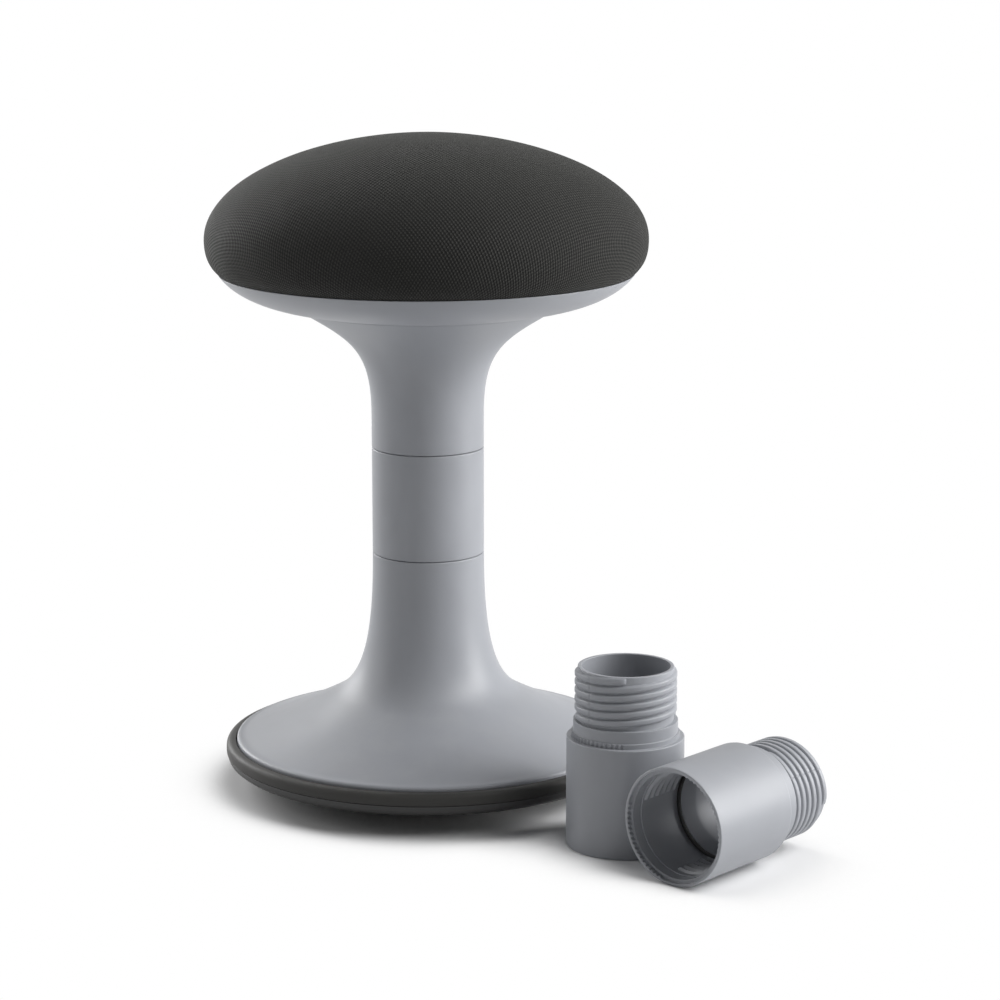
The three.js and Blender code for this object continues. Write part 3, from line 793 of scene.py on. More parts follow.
class STOOL_OT_base_shell(bpy.types.Operator):
    """Builds the dished base that flares up into the first threaded spigot"""

    bl_idname = "stool.base_shell"
    bl_label = "Base Shell"

    def execute(self, context):
        s = sizes()
        j = joint()
        bottom = RING_BOTTOM + SHELL_LIFT
        edge_top = bottom + s.base_edge_height
        edge_foot = point(s.base_edge, edge_top)
        cone_foot = point(s.base_edge - s.base_edge_round, edge_top + s.base_edge_crown)
        waist = point(s.column + s.waist_spread, cone_foot.y + s.waist_rise)
        neck = point(s.column, ledge() - s.edge)
        outside = [
            point(s.base_edge, bottom),
            *bend(edge_foot, point(edge_foot.x, cone_foot.y), cone_foot, EDGE_STEPS),
            *bend(cone_foot, between(cone_foot, waist, CONE_SHARE), waist, CONE_STEPS)[1:],
            *bezier(waist, FLARE_SHARES, neck, FLARE_STEPS)[1:],
        ]
        bore_foot = ledge() - j.cone
        inside = [p for p in inset(outside, s.wall) if p.y < bore_foot - j.cone]
        corners = [
            (s.base_edge - s.wall, bottom, SHELL_BREAK),
            (s.base_edge, bottom, SHELL_BREAK),
            *plain(outside[1:-1]),
            (s.column, ledge(), s.edge),
            *spigot_corners(ledge()),
            (j.bore, bore_foot, THROAT_ROUND),
            *plain(inside[:0:-1]),
        ]
        mesh = spun(with_rows(rounded(corners), [ledge()]), s.columns)
        reshape(mesh, spigot_rule(ledge()))
        mesh = combined(mesh, self.lining(outside, waist, bottom), [self.pilots()])
        piece("base_cone", mesh, shell_plastic(), "base", ["base_shell"])
        return {"FINISHED"}

    def lining(self, outside, waist, bottom):
        """Ribs and screw bosses, up to the middle of the shell's wall."""
        s = sizes()
        f = fixings()
        foot = bottom + f.rib_lift
        middle = [p for p in inset(outside, s.wall / 2) if p.y > foot and p.x > waist.x]
        ribs = rib([point(waist.x, foot), point(s.base_edge - s.wall / 2, foot), *middle], f.rib)
        after = next(i for i, p in enumerate(middle) if p.x < SCREW_CIRCLE)
        slope = middle[after] - middle[after - 1]
        boss = bar(f.screw + f.play + f.boss_wall, post_top() + f.play, waist.y)
        place = (middle[after].x - SCREW_CIRCLE, 0, middle[after].y)
        trimmed(boss, place, (slope.y, 0, -slope.x))
        return [
            ring_of(ribs, f.screws, first_turn=1 / (2 * f.screws)),
            ring_of(boss, f.screws, SCREW_CIRCLE),
        ]

    def pilots(self):
        """Holes for the screws, up into the bosses."""
        f = fixings()
        pilot = bar(f.screw + f.play, post_top() - OVERRUN, SCREW_HIGH.z + OVERRUN)
        return ring_of(pilot, f.screws, SCREW_CIRCLE)


class STOOL_OT_rim_ring(bpy.types.Operator):
    """Builds the rubber ring round the base"""

    bl_idname = "stool.rim_ring"
    bl_label = "Rim Ring"

    def execute(self, context):
        s = sizes()
        shell_side = s.base_edge + RIM_PLAY
        tongue = s.base_edge - TONGUE
        corners = [
            (tongue, RING_BOTTOM, TONGUE_ROUND),
            (RING_RADIUS, RING_BOTTOM, RIM_ROUND),
            (RING_RADIUS, RING_BOTTOM + RIM_FLANK, 0),
            *plain(bend(
                point(RING_RADIUS, RING_BOTTOM + RIM_CURVE),
                point(RING_RADIUS, RING_TOP),
                point(RING_RADIUS - RIM_CROWN, RING_TOP),
                RIM_STEPS,
            )),
            (shell_side, RING_TOP, RIM_BREAK),
            (shell_side, RING_BOTTOM + TONGUE_HEIGHT, TONGUE_FILLET),
            (tongue, RING_BOTTOM + TONGUE_HEIGHT, TONGUE_ROUND),
        ]
        mesh = spun(rounded(corners), RIM_COLUMNS)
        piece("rubber_rim", mesh, rim_rubber(), "base", ["rim_ring"])
        return {"FINISHED"}


class STOOL_OT_bottom_plate(bpy.types.Operator):
    """Builds the domed plate that the stool rocks on"""

    bl_idname = "stool.bottom_plate"
    bl_label = "Bottom Plate"

    def execute(self, context):
        s = sizes()
        support = s.base_edge - SUPPORT_INSET
        under = self.dome(s.dome, 0)
        over = self.dome(support, s.plate_wall)
        chine = point(s.dome + CHINE_OUT, s.dome_rise + CHINE_UP)
        flank = point(PLATE_RADIUS, PLATE_TOP)
        corners = [
            (0, 0, 0),
            (s.foot / 2, 0, 0),
            *plain(under),
            (chine.x, chine.y, CHINE_ROUND),
            (flank.x, flank.y, FLANK_BREAK),
            (flank.x - s.plate_wall, flank.y, FLANK_BREAK),
            (chine.x - s.plate_wall, chine.y + s.plate_wall / 2, SUPPORT_ROUND),
            (support + s.plate_wall, s.dome_rise + s.plate_wall / 2, SUPPORT_ROUND),
            (support + s.plate_wall, flank.y, SUPPORT_BREAK),
            (support, flank.y, SUPPORT_BREAK),
            *plain(over[::-1]),
            (0, s.plate_wall, 0),
        ]
        mesh = spun(rounded(corners), RIM_COLUMNS, closed=False)
        mesh = combined(mesh, [self.posts()], [self.counterbores()])
        piece("rocker_plate", mesh, plate_plastic(), "base", ["bottom_plate"])
        return {"FINISHED"}

    def dome(self, end, lift):
        """Points of the dome, from its foot out to a radius, lifted by a wall."""
        foot = sizes().foot
        points = []
        for i in range(DOME_STEPS + 1):
            radius = foot + (end - foot) * i / DOME_STEPS
            points.append(point(radius, dome_height(radius) + lift))
        return points

    def posts(self):
        """Posts that carry the base shell's bosses."""
        f = fixings()
        foot = dome_height(SCREW_CIRCLE) + sizes().plate_wall * POST_SINK_SHARE
        post = bar(f.head + f.play + f.post_wall, foot, post_top())
        return ring_of(post, f.screws, SCREW_CIRCLE)

    def counterbores(self):
        """Room for the screws' heads and shanks."""
        f = fixings()
        seat = post_top() - f.post_floor
        wide = f.head + f.play
        narrow = f.screw + f.play
        outline = [
            point(0, -OVERRUN),
            point(wide, -OVERRUN),
            point(wide, seat),
            point(narrow, seat),
            point(narrow, post_top() + OVERRUN),
            point(0, post_top() + OVERRUN),
        ]
        return ring_of(spun(outline, BAR_COLUMNS, closed=False), f.screws, SCREW_CIRCLE)


class STOOL_OT_plate_screws(bpy.types.Operator):
    """Builds the screws up through the bottom plate, with a cross recess in each head"""

    bl_idname = "stool.plate_screws"
    bl_label = "Plate Screws"

    def execute(self, context):
        f = fixings()
        low = SCREW_LOW.z
        shoulder = low + f.head_height
        corners = [
            (0, low, 0),
            (f.head * HEAD_TOP_SHARE, low, HEAD_ROUND),
            (f.head, low + f.head_height * HEAD_SIDE_SHARE, HEAD_SIDE_ROUND),
            (f.head, shoulder, SHOULDER_BREAK),
            (f.screw, shoulder, SHOULDER_BREAK),
            (f.screw, SCREW_HIGH.z - f.screw, TIP_ROUND),
            (0, SCREW_HIGH.z, 0),
        ]
        arms = []
        for quarter in range(2):
            arm = bmesh.new()
            bmesh.ops.create_cube(arm, size=2)
            size = (f.recess, f.recess_width / 2, f.head_height * RECESS_SHARE)
            bmesh.ops.scale(arm, verts=arm.verts, vec=size)
            bmesh.ops.translate(arm, verts=arm.verts, vec=(0, 0, low))
            arm.transform(Matrix.Rotation(quarter * TURN / 4, 4, "Z"))
            arms.append(arm)
        screw = combined(spun(rounded(corners), SCREW_COLUMNS, closed=False), removed=arms)
        for i in range(f.screws):
            turned = Matrix.Rotation(TURN * i / f.screws, 4, "Z")
            mesh = screw.copy()
            mesh.transform(turned @ Matrix.Translation((SCREW_CIRCLE, 0, 0)))
            node = f"base_screw_{i + 1}"
            piece(node.replace("base", "plate"), mesh, zinc_steel(), "base", [node])
        screw.free()
        return {"FINISHED"}


# Seat

# The shell's curves, its lip and the web over its socket
FUNNEL_STEPS = 48
DISH_STEPS = 24
LIP_ROUND = 0.8 * MM
LIP_BREAK = 0.5 * MM
WEB_CLEAR = 2 * MM
WEB_CORNER = 1 * MM

# The cover's hem under the board, its tuck inside the lip and its lap over it
HEM_REACH = 14 * MM
HEM_FLAT = 4 * MM
HEM_CORNER = 1.8 * MM
HEM_SIDE = 3 * MM
HEM_RISE = 1.6 * MM
HEM_STEPS = 4
TUCK_DROP = 1 * MM
TUCK_LEAN = 0.3 * MM
TUCK_WIDTH = 1.8 * MM
TUCK_STEPS = 5
LAP_START = 0.4 * MM
LAP_STEPS = 24
CROWN_STEPS = 64

# The foam's gaps, and its skirt's end above the board's bottom
FOAM_PLAY = 0.4 * MM
SKIRT_RISE = 2.2 * MM

# Slow waves on the whole cover, and small folds above the lip
WAVE_SIZE = 38 * MM
WAVE_HEIGHT = 0.35 * MM
WAVE_START = 3 * MM
FOLD_MIDDLE = 4 * MM
FOLD_REACH = 9 * MM
FOLD_RATE = 14
FOLD_HEIGHT = 0.6 * MM
FOLD_SLICE = 0.3


def upper_outline():
    """Outside of the upper shell, from above its mouth up to its lip."""
    s = sizes()
    start = point(s.column, UPPER_MOUTH + s.funnel_straight)
    crease = point(s.crease, DISH_TOP - s.crease_drop)
    lip = point(s.lip, DISH_TOP)
    return [
        *bezier(start, FUNNEL_SHARES, crease, FUNNEL_STEPS),
        *bezier(crease, DISH_SHARES, lip, DISH_STEPS)[1:],
    ]


def grooved(outline):
    """The upper shell's outside with a fine groove at its crease."""
    s = sizes()
    at_crease = next(i for i, p in enumerate(outline) if abs(p.x - s.crease) < WELD)
    crease = outline[at_crease]
    before = (outline[at_crease - 1] - crease).normalized() * s.crease_groove
    after = (outline[at_crease + 1] - crease).normalized() * s.crease_groove
    inward = point(-after.y, after.x)
    return [
        *outline[:at_crease], crease + before, crease + inward, crease + after,
        *outline[at_crease + 1:],
    ]


class STOOL_OT_upper_shell(bpy.types.Operator):
    """Builds the upper column that flares through a funnel into a dish"""

    bl_idname = "stool.upper_shell"
    bl_label = "Upper Shell"

    def execute(self, context):
        s = sizes()
        f = fixings()
        outside = upper_outline()
        web_bottom = socket_bottom(UPPER_MOUTH)
        web_top = web_bottom + f.web
        inside = [p for p in inset(outside, s.wall) if p.y > web_top + WEB_CLEAR]
        corners = [
            (0, web_bottom, 0),
            *socket_corners(UPPER_MOUTH),
            (s.column, UPPER_MOUTH, s.edge),
            *plain(grooved(outside[:-1])),
            (outside[-1].x, outside[-1].y, LIP_ROUND),
            (inside[-1].x, outside[-1].y, LIP_BREAK),
            *plain(inside[-2::-1]),
            (inside[0].x - WEB_CORNER, web_top, WEB_CORNER),
            (0, web_top, 0),
        ]
        points = with_rows(rounded(corners), sockets=[UPPER_MOUTH])
        mesh = spun(points, s.columns, closed=False)
        reshape(mesh, socket_rule(UPPER_MOUTH))
        foot = web_top - f.web / 2
        top = BOARD_BOTTOM - f.play
        middle = inset(outside, s.wall / 2)
        ribs = ring_of(self.seat_rib(middle, foot, top), f.seat_ribs)
        pillar = bar(f.bolt_hole + f.pillar_wall, foot, top)
        pillars = ring_of(pillar, f.bolts, BOLT_CIRCLE)
        bolt_hole = bar(f.bolt_hole, web_bottom - OVERRUN, top + OVERRUN)
        bolt_holes = ring_of(bolt_hole, f.bolts, BOLT_CIRCLE)
        mesh = combined(mesh, [ribs, pillars], [bolt_holes])
        piece("seat_funnel", mesh, shell_plastic(), "seat", ["upper_shell"])
        return {"FINISHED"}

    def seat_rib(self, middle, foot, top):
        """A rib under the board, from the bolts' circle out and down into the shell's wall."""
        f = fixings()
        end = BOARD_RADIUS - f.hem
        curve = [p for p in middle if p.y > foot and p.x < end]
        outline = [
            point(BOLT_CIRCLE, foot),
            point(curve[0].x, foot),
            *curve,
            point(end, top),
            point(BOLT_CIRCLE, top),
        ]
        return rib(outline, f.rib)


def cover_outline():
    """The cover's outside, from its hem under the board, over the lip and the crown to the apex."""
    s = sizes()
    lap = DISH_TOP + s.cover_lift
    tuck = point(s.tuck, DISH_TOP - TUCK_DROP)
    widest = point(s.widest, lap + s.widest_rise)
    foot = point(0, widest.y)
    head = point(widest.x, CROWN_TOP)
    first, second = (between(foot, head, share) for share in CROWN_SHARES)
    return [
        point(BOARD_RADIUS - HEM_REACH, HEM_HEIGHT),
        point(BOARD_RADIUS - HEM_FLAT, HEM_HEIGHT),
        *bend(
            point(BOARD_RADIUS, HEM_HEIGHT),
            point(BOARD_RADIUS + HEM_CORNER, HEM_HEIGHT),
            point(BOARD_RADIUS + HEM_SIDE, HEM_HEIGHT + HEM_RISE),
            HEM_STEPS,
        ),
        *bend(tuck, point(tuck.x + TUCK_LEAN, lap), point(tuck.x + TUCK_WIDTH, lap), TUCK_STEPS),
        *bezier(point(s.lip - LAP_START, lap), LAP_SHARES, widest, LAP_STEPS),
        *cubic(widest, first, second, point(0, CROWN_TOP), CROWN_STEPS)[1:],
    ]


class STOOL_OT_seat_cover(bpy.types.Operator):
    """Builds the woven cover, with a weave map that follows its surface"""

    bl_idname = "stool.seat_cover"
    bl_label = "Seat Cover"

    def execute(self, context):
        s = sizes()
        outside = cover_outline()
        inside = inset(outside, s.cover_wall)
        inside[-1].x = 0
        reaches = [0]
        for here, there in zip(outside[::-1], outside[-2::-1]):
            reaches.append(reaches[-1] + (there - here).length)
        outline = outside + inside[::-1]
        mesh = spun(outline, CLOTH_COLUMNS, closed=False, reaches=reaches[::-1] + reaches)
        bmesh.ops.delete(mesh, geom=[e for e in mesh.edges if e.is_wire], context="EDGES")
        bmesh.ops.bridge_loops(mesh, edges=[e for e in mesh.edges if e.is_boundary])
        bmesh.ops.recalc_face_normals(mesh, faces=mesh.faces)
        for vert in mesh.verts:
            self.pucker(vert)
        reach = mesh.verts.layers.float["reach"]
        weave = mesh.loops.layers.uv.new("weave")
        for face in mesh.faces:
            for loop in face.loops:
                way = loop.vert.co.xy
                if way.length > WELD:
                    loop[weave].uv = way.normalized() * loop.vert[reach]
        cover = piece("padded_cover", mesh, woven_fabric(), "seat", ["seat_cover"])
        return {"FINISHED"}

    def pucker(self, vert):
        """Moves a vertex a little in or out, by slow waves and by small folds above the lip."""
        radius = vert.co.xy.length
        if radius < WELD:
            return
        slow = noise.noise(vert.co / WAVE_SIZE) * WAVE_HEIGHT
        near = max(0, 1 - abs(vert.co.z - DISH_TOP - FOLD_MIDDLE) / FOLD_REACH)
        place = Vector((*vert.co.xy.normalized(), FOLD_SLICE)) * FOLD_RATE
        folds = noise.noise(place) * near * FOLD_HEIGHT
        clear = min(max((vert.co.z - DISH_TOP) / WAVE_START, 0), 1)
        vert.co.xy *= 1 + (slow + folds) * clear / radius


class STOOL_OT_seat_foam(bpy.types.Operator):
    """Builds the crowned foam under the cover"""

    bl_idname = "stool.seat_foam"
    bl_label = "Seat Foam"

    def execute(self, context):
        skin = inset(cover_outline()[2:], sizes().cover_wall + FOAM_PLAY)
        skirt = BOARD_BOTTOM + SKIRT_RISE
        outside = [p for p in skin if p.y > skirt]
        outside[-1].x = 0
        floor = BOARD_TOP + FOAM_PLAY
        side = BOARD_RADIUS + FOAM_PLAY
        outline = [
            point(0, floor),
            point(BOARD_RADIUS / 2, floor),
            point(side, floor),
            point(side, skirt),
            *outside,
        ]
        mesh = spun(outline, RING_COLUMNS, closed=False)
        foam = piece("foam_pad", mesh, open_foam(), "seat", ["seat_foam"])
        return {"FINISHED"}


# Materials

# Sockets of a Mix node that mixes colours
FIRST_COLOUR = 6
SECOND_COLOUR = 7
MIXED_COLOUR = 2

# Colours that lie over a base colour
SHELL_DUST = (0.62, 0.6, 0.56, 1)
RUBBER_DUST = (0.3, 0.29, 0.27, 1)
SHEEN_TINT = (0.8, 0.82, 0.76, 1)

# Scales of the patterns, in features to a metre
DRIFT_SCALE = 60
YARN_SCALE = 2600
CLOTH_SCALE = 30
CELL_SCALE = 700
VENEER_SCALE = 26
VENEER_STRETCH = (1, 14, 1)

# Thickness of a ply, and how dark every other one is
PLY = 1.5 * MM
DARK_PLY_SHARE = 0.8


def tree_of(owner):
    """The node tree of a material or a world, emptied."""
    owner.use_nodes = True
    tree = owner.node_tree
    tree.nodes.clear()
    return tree


def add(tree, kind, **settings):
    """A new node with its settings."""
    node = tree.nodes.new(kind)
    for name, value in settings.items():
        setattr(node, name, value)
    return node


def feed(tree, target, source):
    """Links a socket, or sets a value."""
    if isinstance(source, bpy.types.NodeSocket):
        tree.links.new(source, target)
    else:
        target.default_value = source


def fed(tree, kind, values, **settings):
    """The first output of a new node whose first inputs are fed."""
    node = add(tree, kind, **settings)
    for socket, value in zip(node.inputs, values):
        feed(tree, socket, value)
    return node.outputs[0]


def maths(tree, operation, *values):
    """The result of a sum on numbers."""
    return fed(tree, "ShaderNodeMath", values, operation=operation)


def vector_maths(tree, operation, *values):
    """The result of a sum on vectors."""
    return fed(tree, "ShaderNodeVectorMath", values, operation=operation)


def raised(tree, least, share, more):
    """A value raised by a share of something more."""
    return maths(tree, "MULTIPLY_ADD", share, more, least)


def spread(tree, value, low, high, to_low=0):
    """A value mapped smoothly from a range to another one that ends at 1."""
    values = (value, low, high, to_low, 1)
    return fed(tree, "ShaderNodeMapRange", values, interpolation_type="SMOOTHSTEP")


def speckle(tree, vector, scale, detail, roughness=0.55):
    """Noise from 0 to 1."""
    node = add(tree, "ShaderNodeTexNoise")
    feed(tree, node.inputs["Vector"], vector)
    feed(tree, node.inputs["Scale"], scale)
    feed(tree, node.inputs["Detail"], detail)
    feed(tree, node.inputs["Roughness"], roughness)
    return node.outputs["Fac"]


def mixed(tree, share, first, second, blend="MIX"):
    """A mix of two colours."""
    node = add(tree, "ShaderNodeMix", data_type="RGBA", blend_type=blend)
    feed(tree, node.inputs["Factor"], share)
    feed(tree, node.inputs[FIRST_COLOUR], first)
    feed(tree, node.inputs[SECOND_COLOUR], second)
    return node.outputs[MIXED_COLOUR]


def toned(shade, factor):
    """A colour made lighter or darker, with its alpha."""
    return (*(min(channel * factor, 1) for channel in shade), 1)


def mottled(tree, share, base, tones):
    """A colour between a darker and a lighter tone of its base."""
    dark, light = tones
    return mixed(tree, share, toned(base, dark), toned(base, light))


def covered(tree, shade, mask, share, cover):
    """A colour under a share of another one, where a mask is."""
    return mixed(tree, maths(tree, "MULTIPLY", mask, share), shade, cover)


def shared_group(name, numbers, results, build):
    """A group of a vector and some numbers, built the first time that it is asked for."""
    group = bpy.data.node_groups.get(name)
    if group:
        return group
    group = bpy.data.node_groups.new(name, "ShaderNodeTree")
    group.interface.new_socket(name="Vector", in_out="INPUT", socket_type="NodeSocketVector")
    for label, value in numbers.items():
        socket = group.interface.new_socket(
            name=label, in_out="INPUT", socket_type="NodeSocketFloat"
        )
        socket.default_value = value
    for label in results:
        group.interface.new_socket(name=label, in_out="OUTPUT", socket_type="NodeSocketFloat")
    given = add(group, "NodeGroupInput").outputs
    sources = build(group, given)
    for socket, source in zip(add(group, "NodeGroupOutput").inputs, sources):
        feed(group, socket, source)
    return group


def sized_speckle(group, given, size, detail, roughness):
    """Noise whose features have one of a group's sizes."""
    scale = maths(group, "DIVIDE", 1, given[size])
    return speckle(group, given["Vector"], scale, detail, roughness)


def placed(tree, group, **values):
    """The outputs of a group's node in a material, with its inputs' values."""
    node = add(tree, "ShaderNodeGroup", node_tree=group)
    for name, value in values.items():
        feed(tree, node.inputs[name.replace("_", " ").capitalize()], value)
    return node.outputs


def moulded_grain():
    """Fine moulded texture: a mottled shade, and a height of grain over slow flow marks."""

    def build(group, given):
        fine = sized_speckle(group, given, "Grain size", detail=2, roughness=0.6)
        slow = sized_speckle(group, given, "Flow size", detail=4, roughness=0.5)
        lift = maths(group, "MULTIPLY", slow, given["Flow share"])
        return spread(group, slow, 0.3, 0.7), maths(group, "ADD", fine, lift)

    numbers = {"Grain size": 0.6 * MM, "Flow size": 50 * MM, "Flow share": 0.3}
    return shared_group("Moulded grain", numbers, ("Shade", "Height"), build)


def edge_wear_and_highlight():
    """A mask of worn edges that also paints highlights along them, broken up by noise."""

    def build(group, given):
        edge = add(group, "ShaderNodeNewGeometry").outputs["Pointiness"]
        edges = spread(group, edge, given["Start"], given["End"])
        broken = sized_speckle(group, given, "Break size", detail=4, roughness=0.7)
        patches = spread(group, broken, 0.42, 0.62)
        return (maths(group, "MULTIPLY", edges, patches),)

    numbers = {"Start": 0.52, "End": 0.62, "Break size": 4 * MM}
    return shared_group("Edge wear", numbers, ("Mask",), build)


def settled_dust():
    """A mask of dust on faces that look up."""

    def build(group, given):
        split = add(group, "ShaderNodeSeparateXYZ")
        feed(group, split.inputs[0], add(group, "ShaderNodeNewGeometry").outputs["Normal"])
        facing = spread(group, split.outputs["Z"], 0.3, 1)
        broken = sized_speckle(group, given, "Patch size", detail=6, roughness=0.65)
        patches = spread(group, broken, 0.4, 0.75)
        return (maths(group, "MULTIPLY", facing, patches),)

    return shared_group("Settled dust", {"Patch size": 20 * MM}, ("Mask",), build)


def plain_weave():
    """Yarns over and under each other: height, crown mask and a slow shade, from a flat cloth map."""

    def build(group, given):
        vector = given["Vector"]
        drift = add(group, "ShaderNodeTexNoise")
        feed(group, drift.inputs["Vector"], vector)
        feed(group, drift.inputs["Scale"], DRIFT_SCALE)
        feed(group, drift.inputs["Detail"], 2)
        centred = vector_maths(group, "SUBTRACT", drift.outputs["Color"], (0.5, 0.5, 0.5))
        scaled = add(group, "ShaderNodeVectorMath", operation="SCALE")
        feed(group, scaled.inputs[0], centred)
        feed(group, scaled.inputs["Scale"], given["Wander"])
        split = add(group, "ShaderNodeSeparateXYZ")
        feed(group, split.inputs[0], vector_maths(group, "ADD", vector, scaled.outputs[0]))
        waves = []
        for axis, pitch in (("X", "Pitch across"), ("Y", "Pitch along")):
            laps = maths(group, "DIVIDE", split.outputs[axis], given[pitch])
            waves.append(maths(group, "COSINE", maths(group, "MULTIPLY", laps, TURN)))
        crown = raised(group, 0.5, maths(group, "MULTIPLY", *waves), more=0.5)
        yarn = speckle(group, vector, YARN_SCALE, detail=2, roughness=0.6)
        cloth = speckle(group, vector, CLOTH_SCALE, detail=5, roughness=0.6)
        return raised(group, crown, yarn, more=0.25), crown, cloth

    numbers = {"Pitch across": 3.15 * MM, "Pitch along": 4 * MM, "Wander": 0.6 * MM}
    return shared_group("Plain weave", numbers, ("Height", "Crown", "Shade"), build)


def finished_material(name, build):
    """A material by its name, built the first time that it is asked for."""
    material = bpy.data.materials.get(name)
    if material:
        return material
    material = bpy.data.materials.new(name)
    tree = tree_of(material)
    output = add(tree, "ShaderNodeOutputMaterial")
    shader = add(tree, "ShaderNodeBsdfPrincipled")
    tree.links.new(shader.outputs[0], output.inputs[0])
    build(tree, shader, add(tree, "ShaderNodeTexCoord").outputs)
    return material


def grained(tree, coords, base, tones, gloss, **numbers):
    """The mottled colour, the uneven roughness and the height of a moulded surface."""
    grain = placed(tree, moulded_grain(), vector=coords["Object"], **numbers)
    least, more = gloss
    roughness = raised(tree, least, grain["Shade"], more)
    return mottled(tree, grain["Shade"], base, tones), roughness, grain["Height"]


def dressed(tree, shader, shade, roughness, height, distance, strength):
    """Gives a shader its colour, its roughness and a bump."""
    feed(tree, shader.inputs["Base Color"], shade)
    feed(tree, shader.inputs["Roughness"], roughness)
    bump = add(tree, "ShaderNodeBump")
    feed(tree, bump.inputs["Height"], height)
    bump.inputs["Distance"].default_value = distance
    bump.inputs["Strength"].default_value = strength
    feed(tree, shader.inputs["Normal"], bump.outputs[0])


def shell_plastic():
    def build(tree, shader, coords):
        base = colours().shell
        wear_and_highlight = placed(tree, edge_wear_and_highlight(), vector=coords["Object"])["Mask"]
        dust = placed(tree, settled_dust(), vector=coords["Object"])["Mask"]
        shade, gloss, height = grained(
            tree, coords, base, tones=(0.965, 1.03), gloss=(0.4, 0.08),
            grain_size=0.7 * MM, flow_size=60 * MM,
        )
        # Edges made lighter: partly wear, partly a painted highlight along the rounded edges.
        shade = covered(tree, shade, wear_and_highlight, share=0.35, cover=toned(base, 1.35))
        shade = covered(tree, shade, dust, share=0.06, cover=SHELL_DUST)
        gloss = raised(tree, gloss, dust, more=0.1)
        dressed(tree, shader, shade, gloss, height, distance=0.02 * MM, strength=0.5)

    return finished_material("Moulded shell plastic", build)


def rim_rubber():
    def build(tree, shader, coords):
        dust = placed(tree, settled_dust(), vector=coords["Object"], patch_size=15 * MM)["Mask"]
        shade, gloss, height = grained(
            tree, coords, colours().rubber, tones=(0.9, 1.1), gloss=(0.5, 0.12),
            grain_size=0.9 * MM, flow_size=30 * MM,
        )
        shade = covered(tree, shade, dust, share=0.04, cover=RUBBER_DUST)
        shader.inputs["Specular IOR Level"].default_value = 0.3
        dressed(tree, shader, shade, gloss, height, distance=0.04 * MM, strength=0.6)

    return finished_material("Rim rubber", build)


def plate_plastic():
    def build(tree, shader, coords):
        base = colours().plate
        wear_and_highlight = placed(tree, edge_wear_and_highlight(), vector=coords["Object"], break_size=6 * MM)["Mask"]
        shade, gloss, height = grained(
            tree, coords, base, tones=(0.9, 1.1), gloss=(0.5, 0.1),
            grain_size=0.8 * MM, flow_size=40 * MM,
        )
        # Edges made lighter: partly wear, partly a painted highlight.
        shade = covered(tree, shade, wear_and_highlight, share=0.3, cover=toned(base, 2.4))
        dressed(tree, shader, shade, gloss, height, distance=0.04 * MM, strength=0.7)

    return finished_material("Bottom plate plastic", build)


def stop_rubber():
    def build(tree, shader, coords):
        shade, gloss, height = grained(
            tree, coords, colours().buffer, tones=(0.8, 1.3), gloss=(0.55, 0.1),
            grain_size=0.5 * MM, flow_size=10 * MM,
        )
        dressed(tree, shader, shade, gloss, height, distance=0.03 * MM, strength=0.6)

    return finished_material("Stop ring rubber", build)


def woven_fabric():
    def build(tree, shader, coords):
        weave = placed(tree, plain_weave(), vector=coords["UV"])
        base = colours().fabric
        yarn = mottled(tree, weave["Shade"], base, tones=(0.85, 1.15))
        lit = spread(tree, weave["Crown"], 0.3, 0.95)
        shade = mixed(tree, lit, toned(base, 0.04), yarn)
        gloss = raised(tree, 0.75, weave["Shade"], more=0.1)
        shader.inputs["Specular IOR Level"].default_value = 0.25
        shader.inputs["Sheen Weight"].default_value = 0.06
        shader.inputs["Sheen Roughness"].default_value = 0.4
        shader.inputs["Sheen Tint"].default_value = SHEEN_TINT
        dressed(tree, shader, shade, gloss, weave["Height"], distance=0.6 * MM, strength=1)

    return finished_material("Woven seat fabric", build)


def open_foam():
    def build(tree, shader, coords):
        cells = add(tree, "ShaderNodeTexVoronoi")
        feed(tree, cells.inputs["Vector"], coords["Object"])
        feed(tree, cells.inputs["Scale"], CELL_SCALE)
        cell = cells.outputs["Distance"]
        shade = mottled(tree, cell, colours().foam, tones=(0.75, 1.1))
        dressed(tree, shader, shade, 0.95, cell, distance=0.5 * MM, strength=0.7)

    return finished_material("Open-cell foam", build)


def birch_plywood():
    def build(tree, shader, coords):
        stretch = add(tree, "ShaderNodeMapping")
        feed(tree, stretch.inputs["Vector"], coords["Object"])
        stretch.inputs["Scale"].default_value = VENEER_STRETCH
        grain = speckle(tree, stretch.outputs[0], VENEER_SCALE, detail=8, roughness=0.6)
        split = add(tree, "ShaderNodeSeparateXYZ")
        feed(tree, split.inputs[0], coords["Object"])
        plies = maths(tree, "MULTIPLY", split.outputs["Z"], 1 / PLY)
        layer = spread(tree, maths(tree, "PINGPONG", plies, 1), 0.4, 0.6, to_low=DARK_PLY_SHARE)
        shade = mottled(tree, grain, colours().plywood, tones=(0.7, 1.2))
        shade = mixed(tree, 1.0, shade, layer, blend="MULTIPLY")
        dressed(tree, shader, shade, 0.7, grain, distance=0.1 * MM, strength=0.6)

    return finished_material("Birch plywood", build)


def zinc_steel():
    def build(tree, shader, coords):
        shade, gloss, height = grained(
            tree, coords, colours().steel, tones=(0.85, 1.1), gloss=(0.28, 0.15),
            grain_size=0.4 * MM, flow_size=6 * MM,
        )
        shader.inputs["Metallic"].default_value = 1
        dressed(tree, shader, shade, gloss, height, distance=0.01 * MM, strength=0.5)

    return finished_material("Zinc-plated steel", build)


class STOOL_OT_hardware(bpy.types.Operator):
    """Gives the board and the fasteners that stay as they are their materials"""

    bl_idname = "stool.hardware"
    bl_label = "Board and Fasteners"

    def execute(self, context):
        for name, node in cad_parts.items():
            if name == "seat_board":
                material = birch_plywood()
            elif name.startswith(("t_nut", "seat_bolt")):
                material = zinc_steel()
            else:
                continue
            node.data.materials.clear()
            node.data.materials.append(material)
        return {"FINISHED"}


# Stage: camera, floor, world and lamps

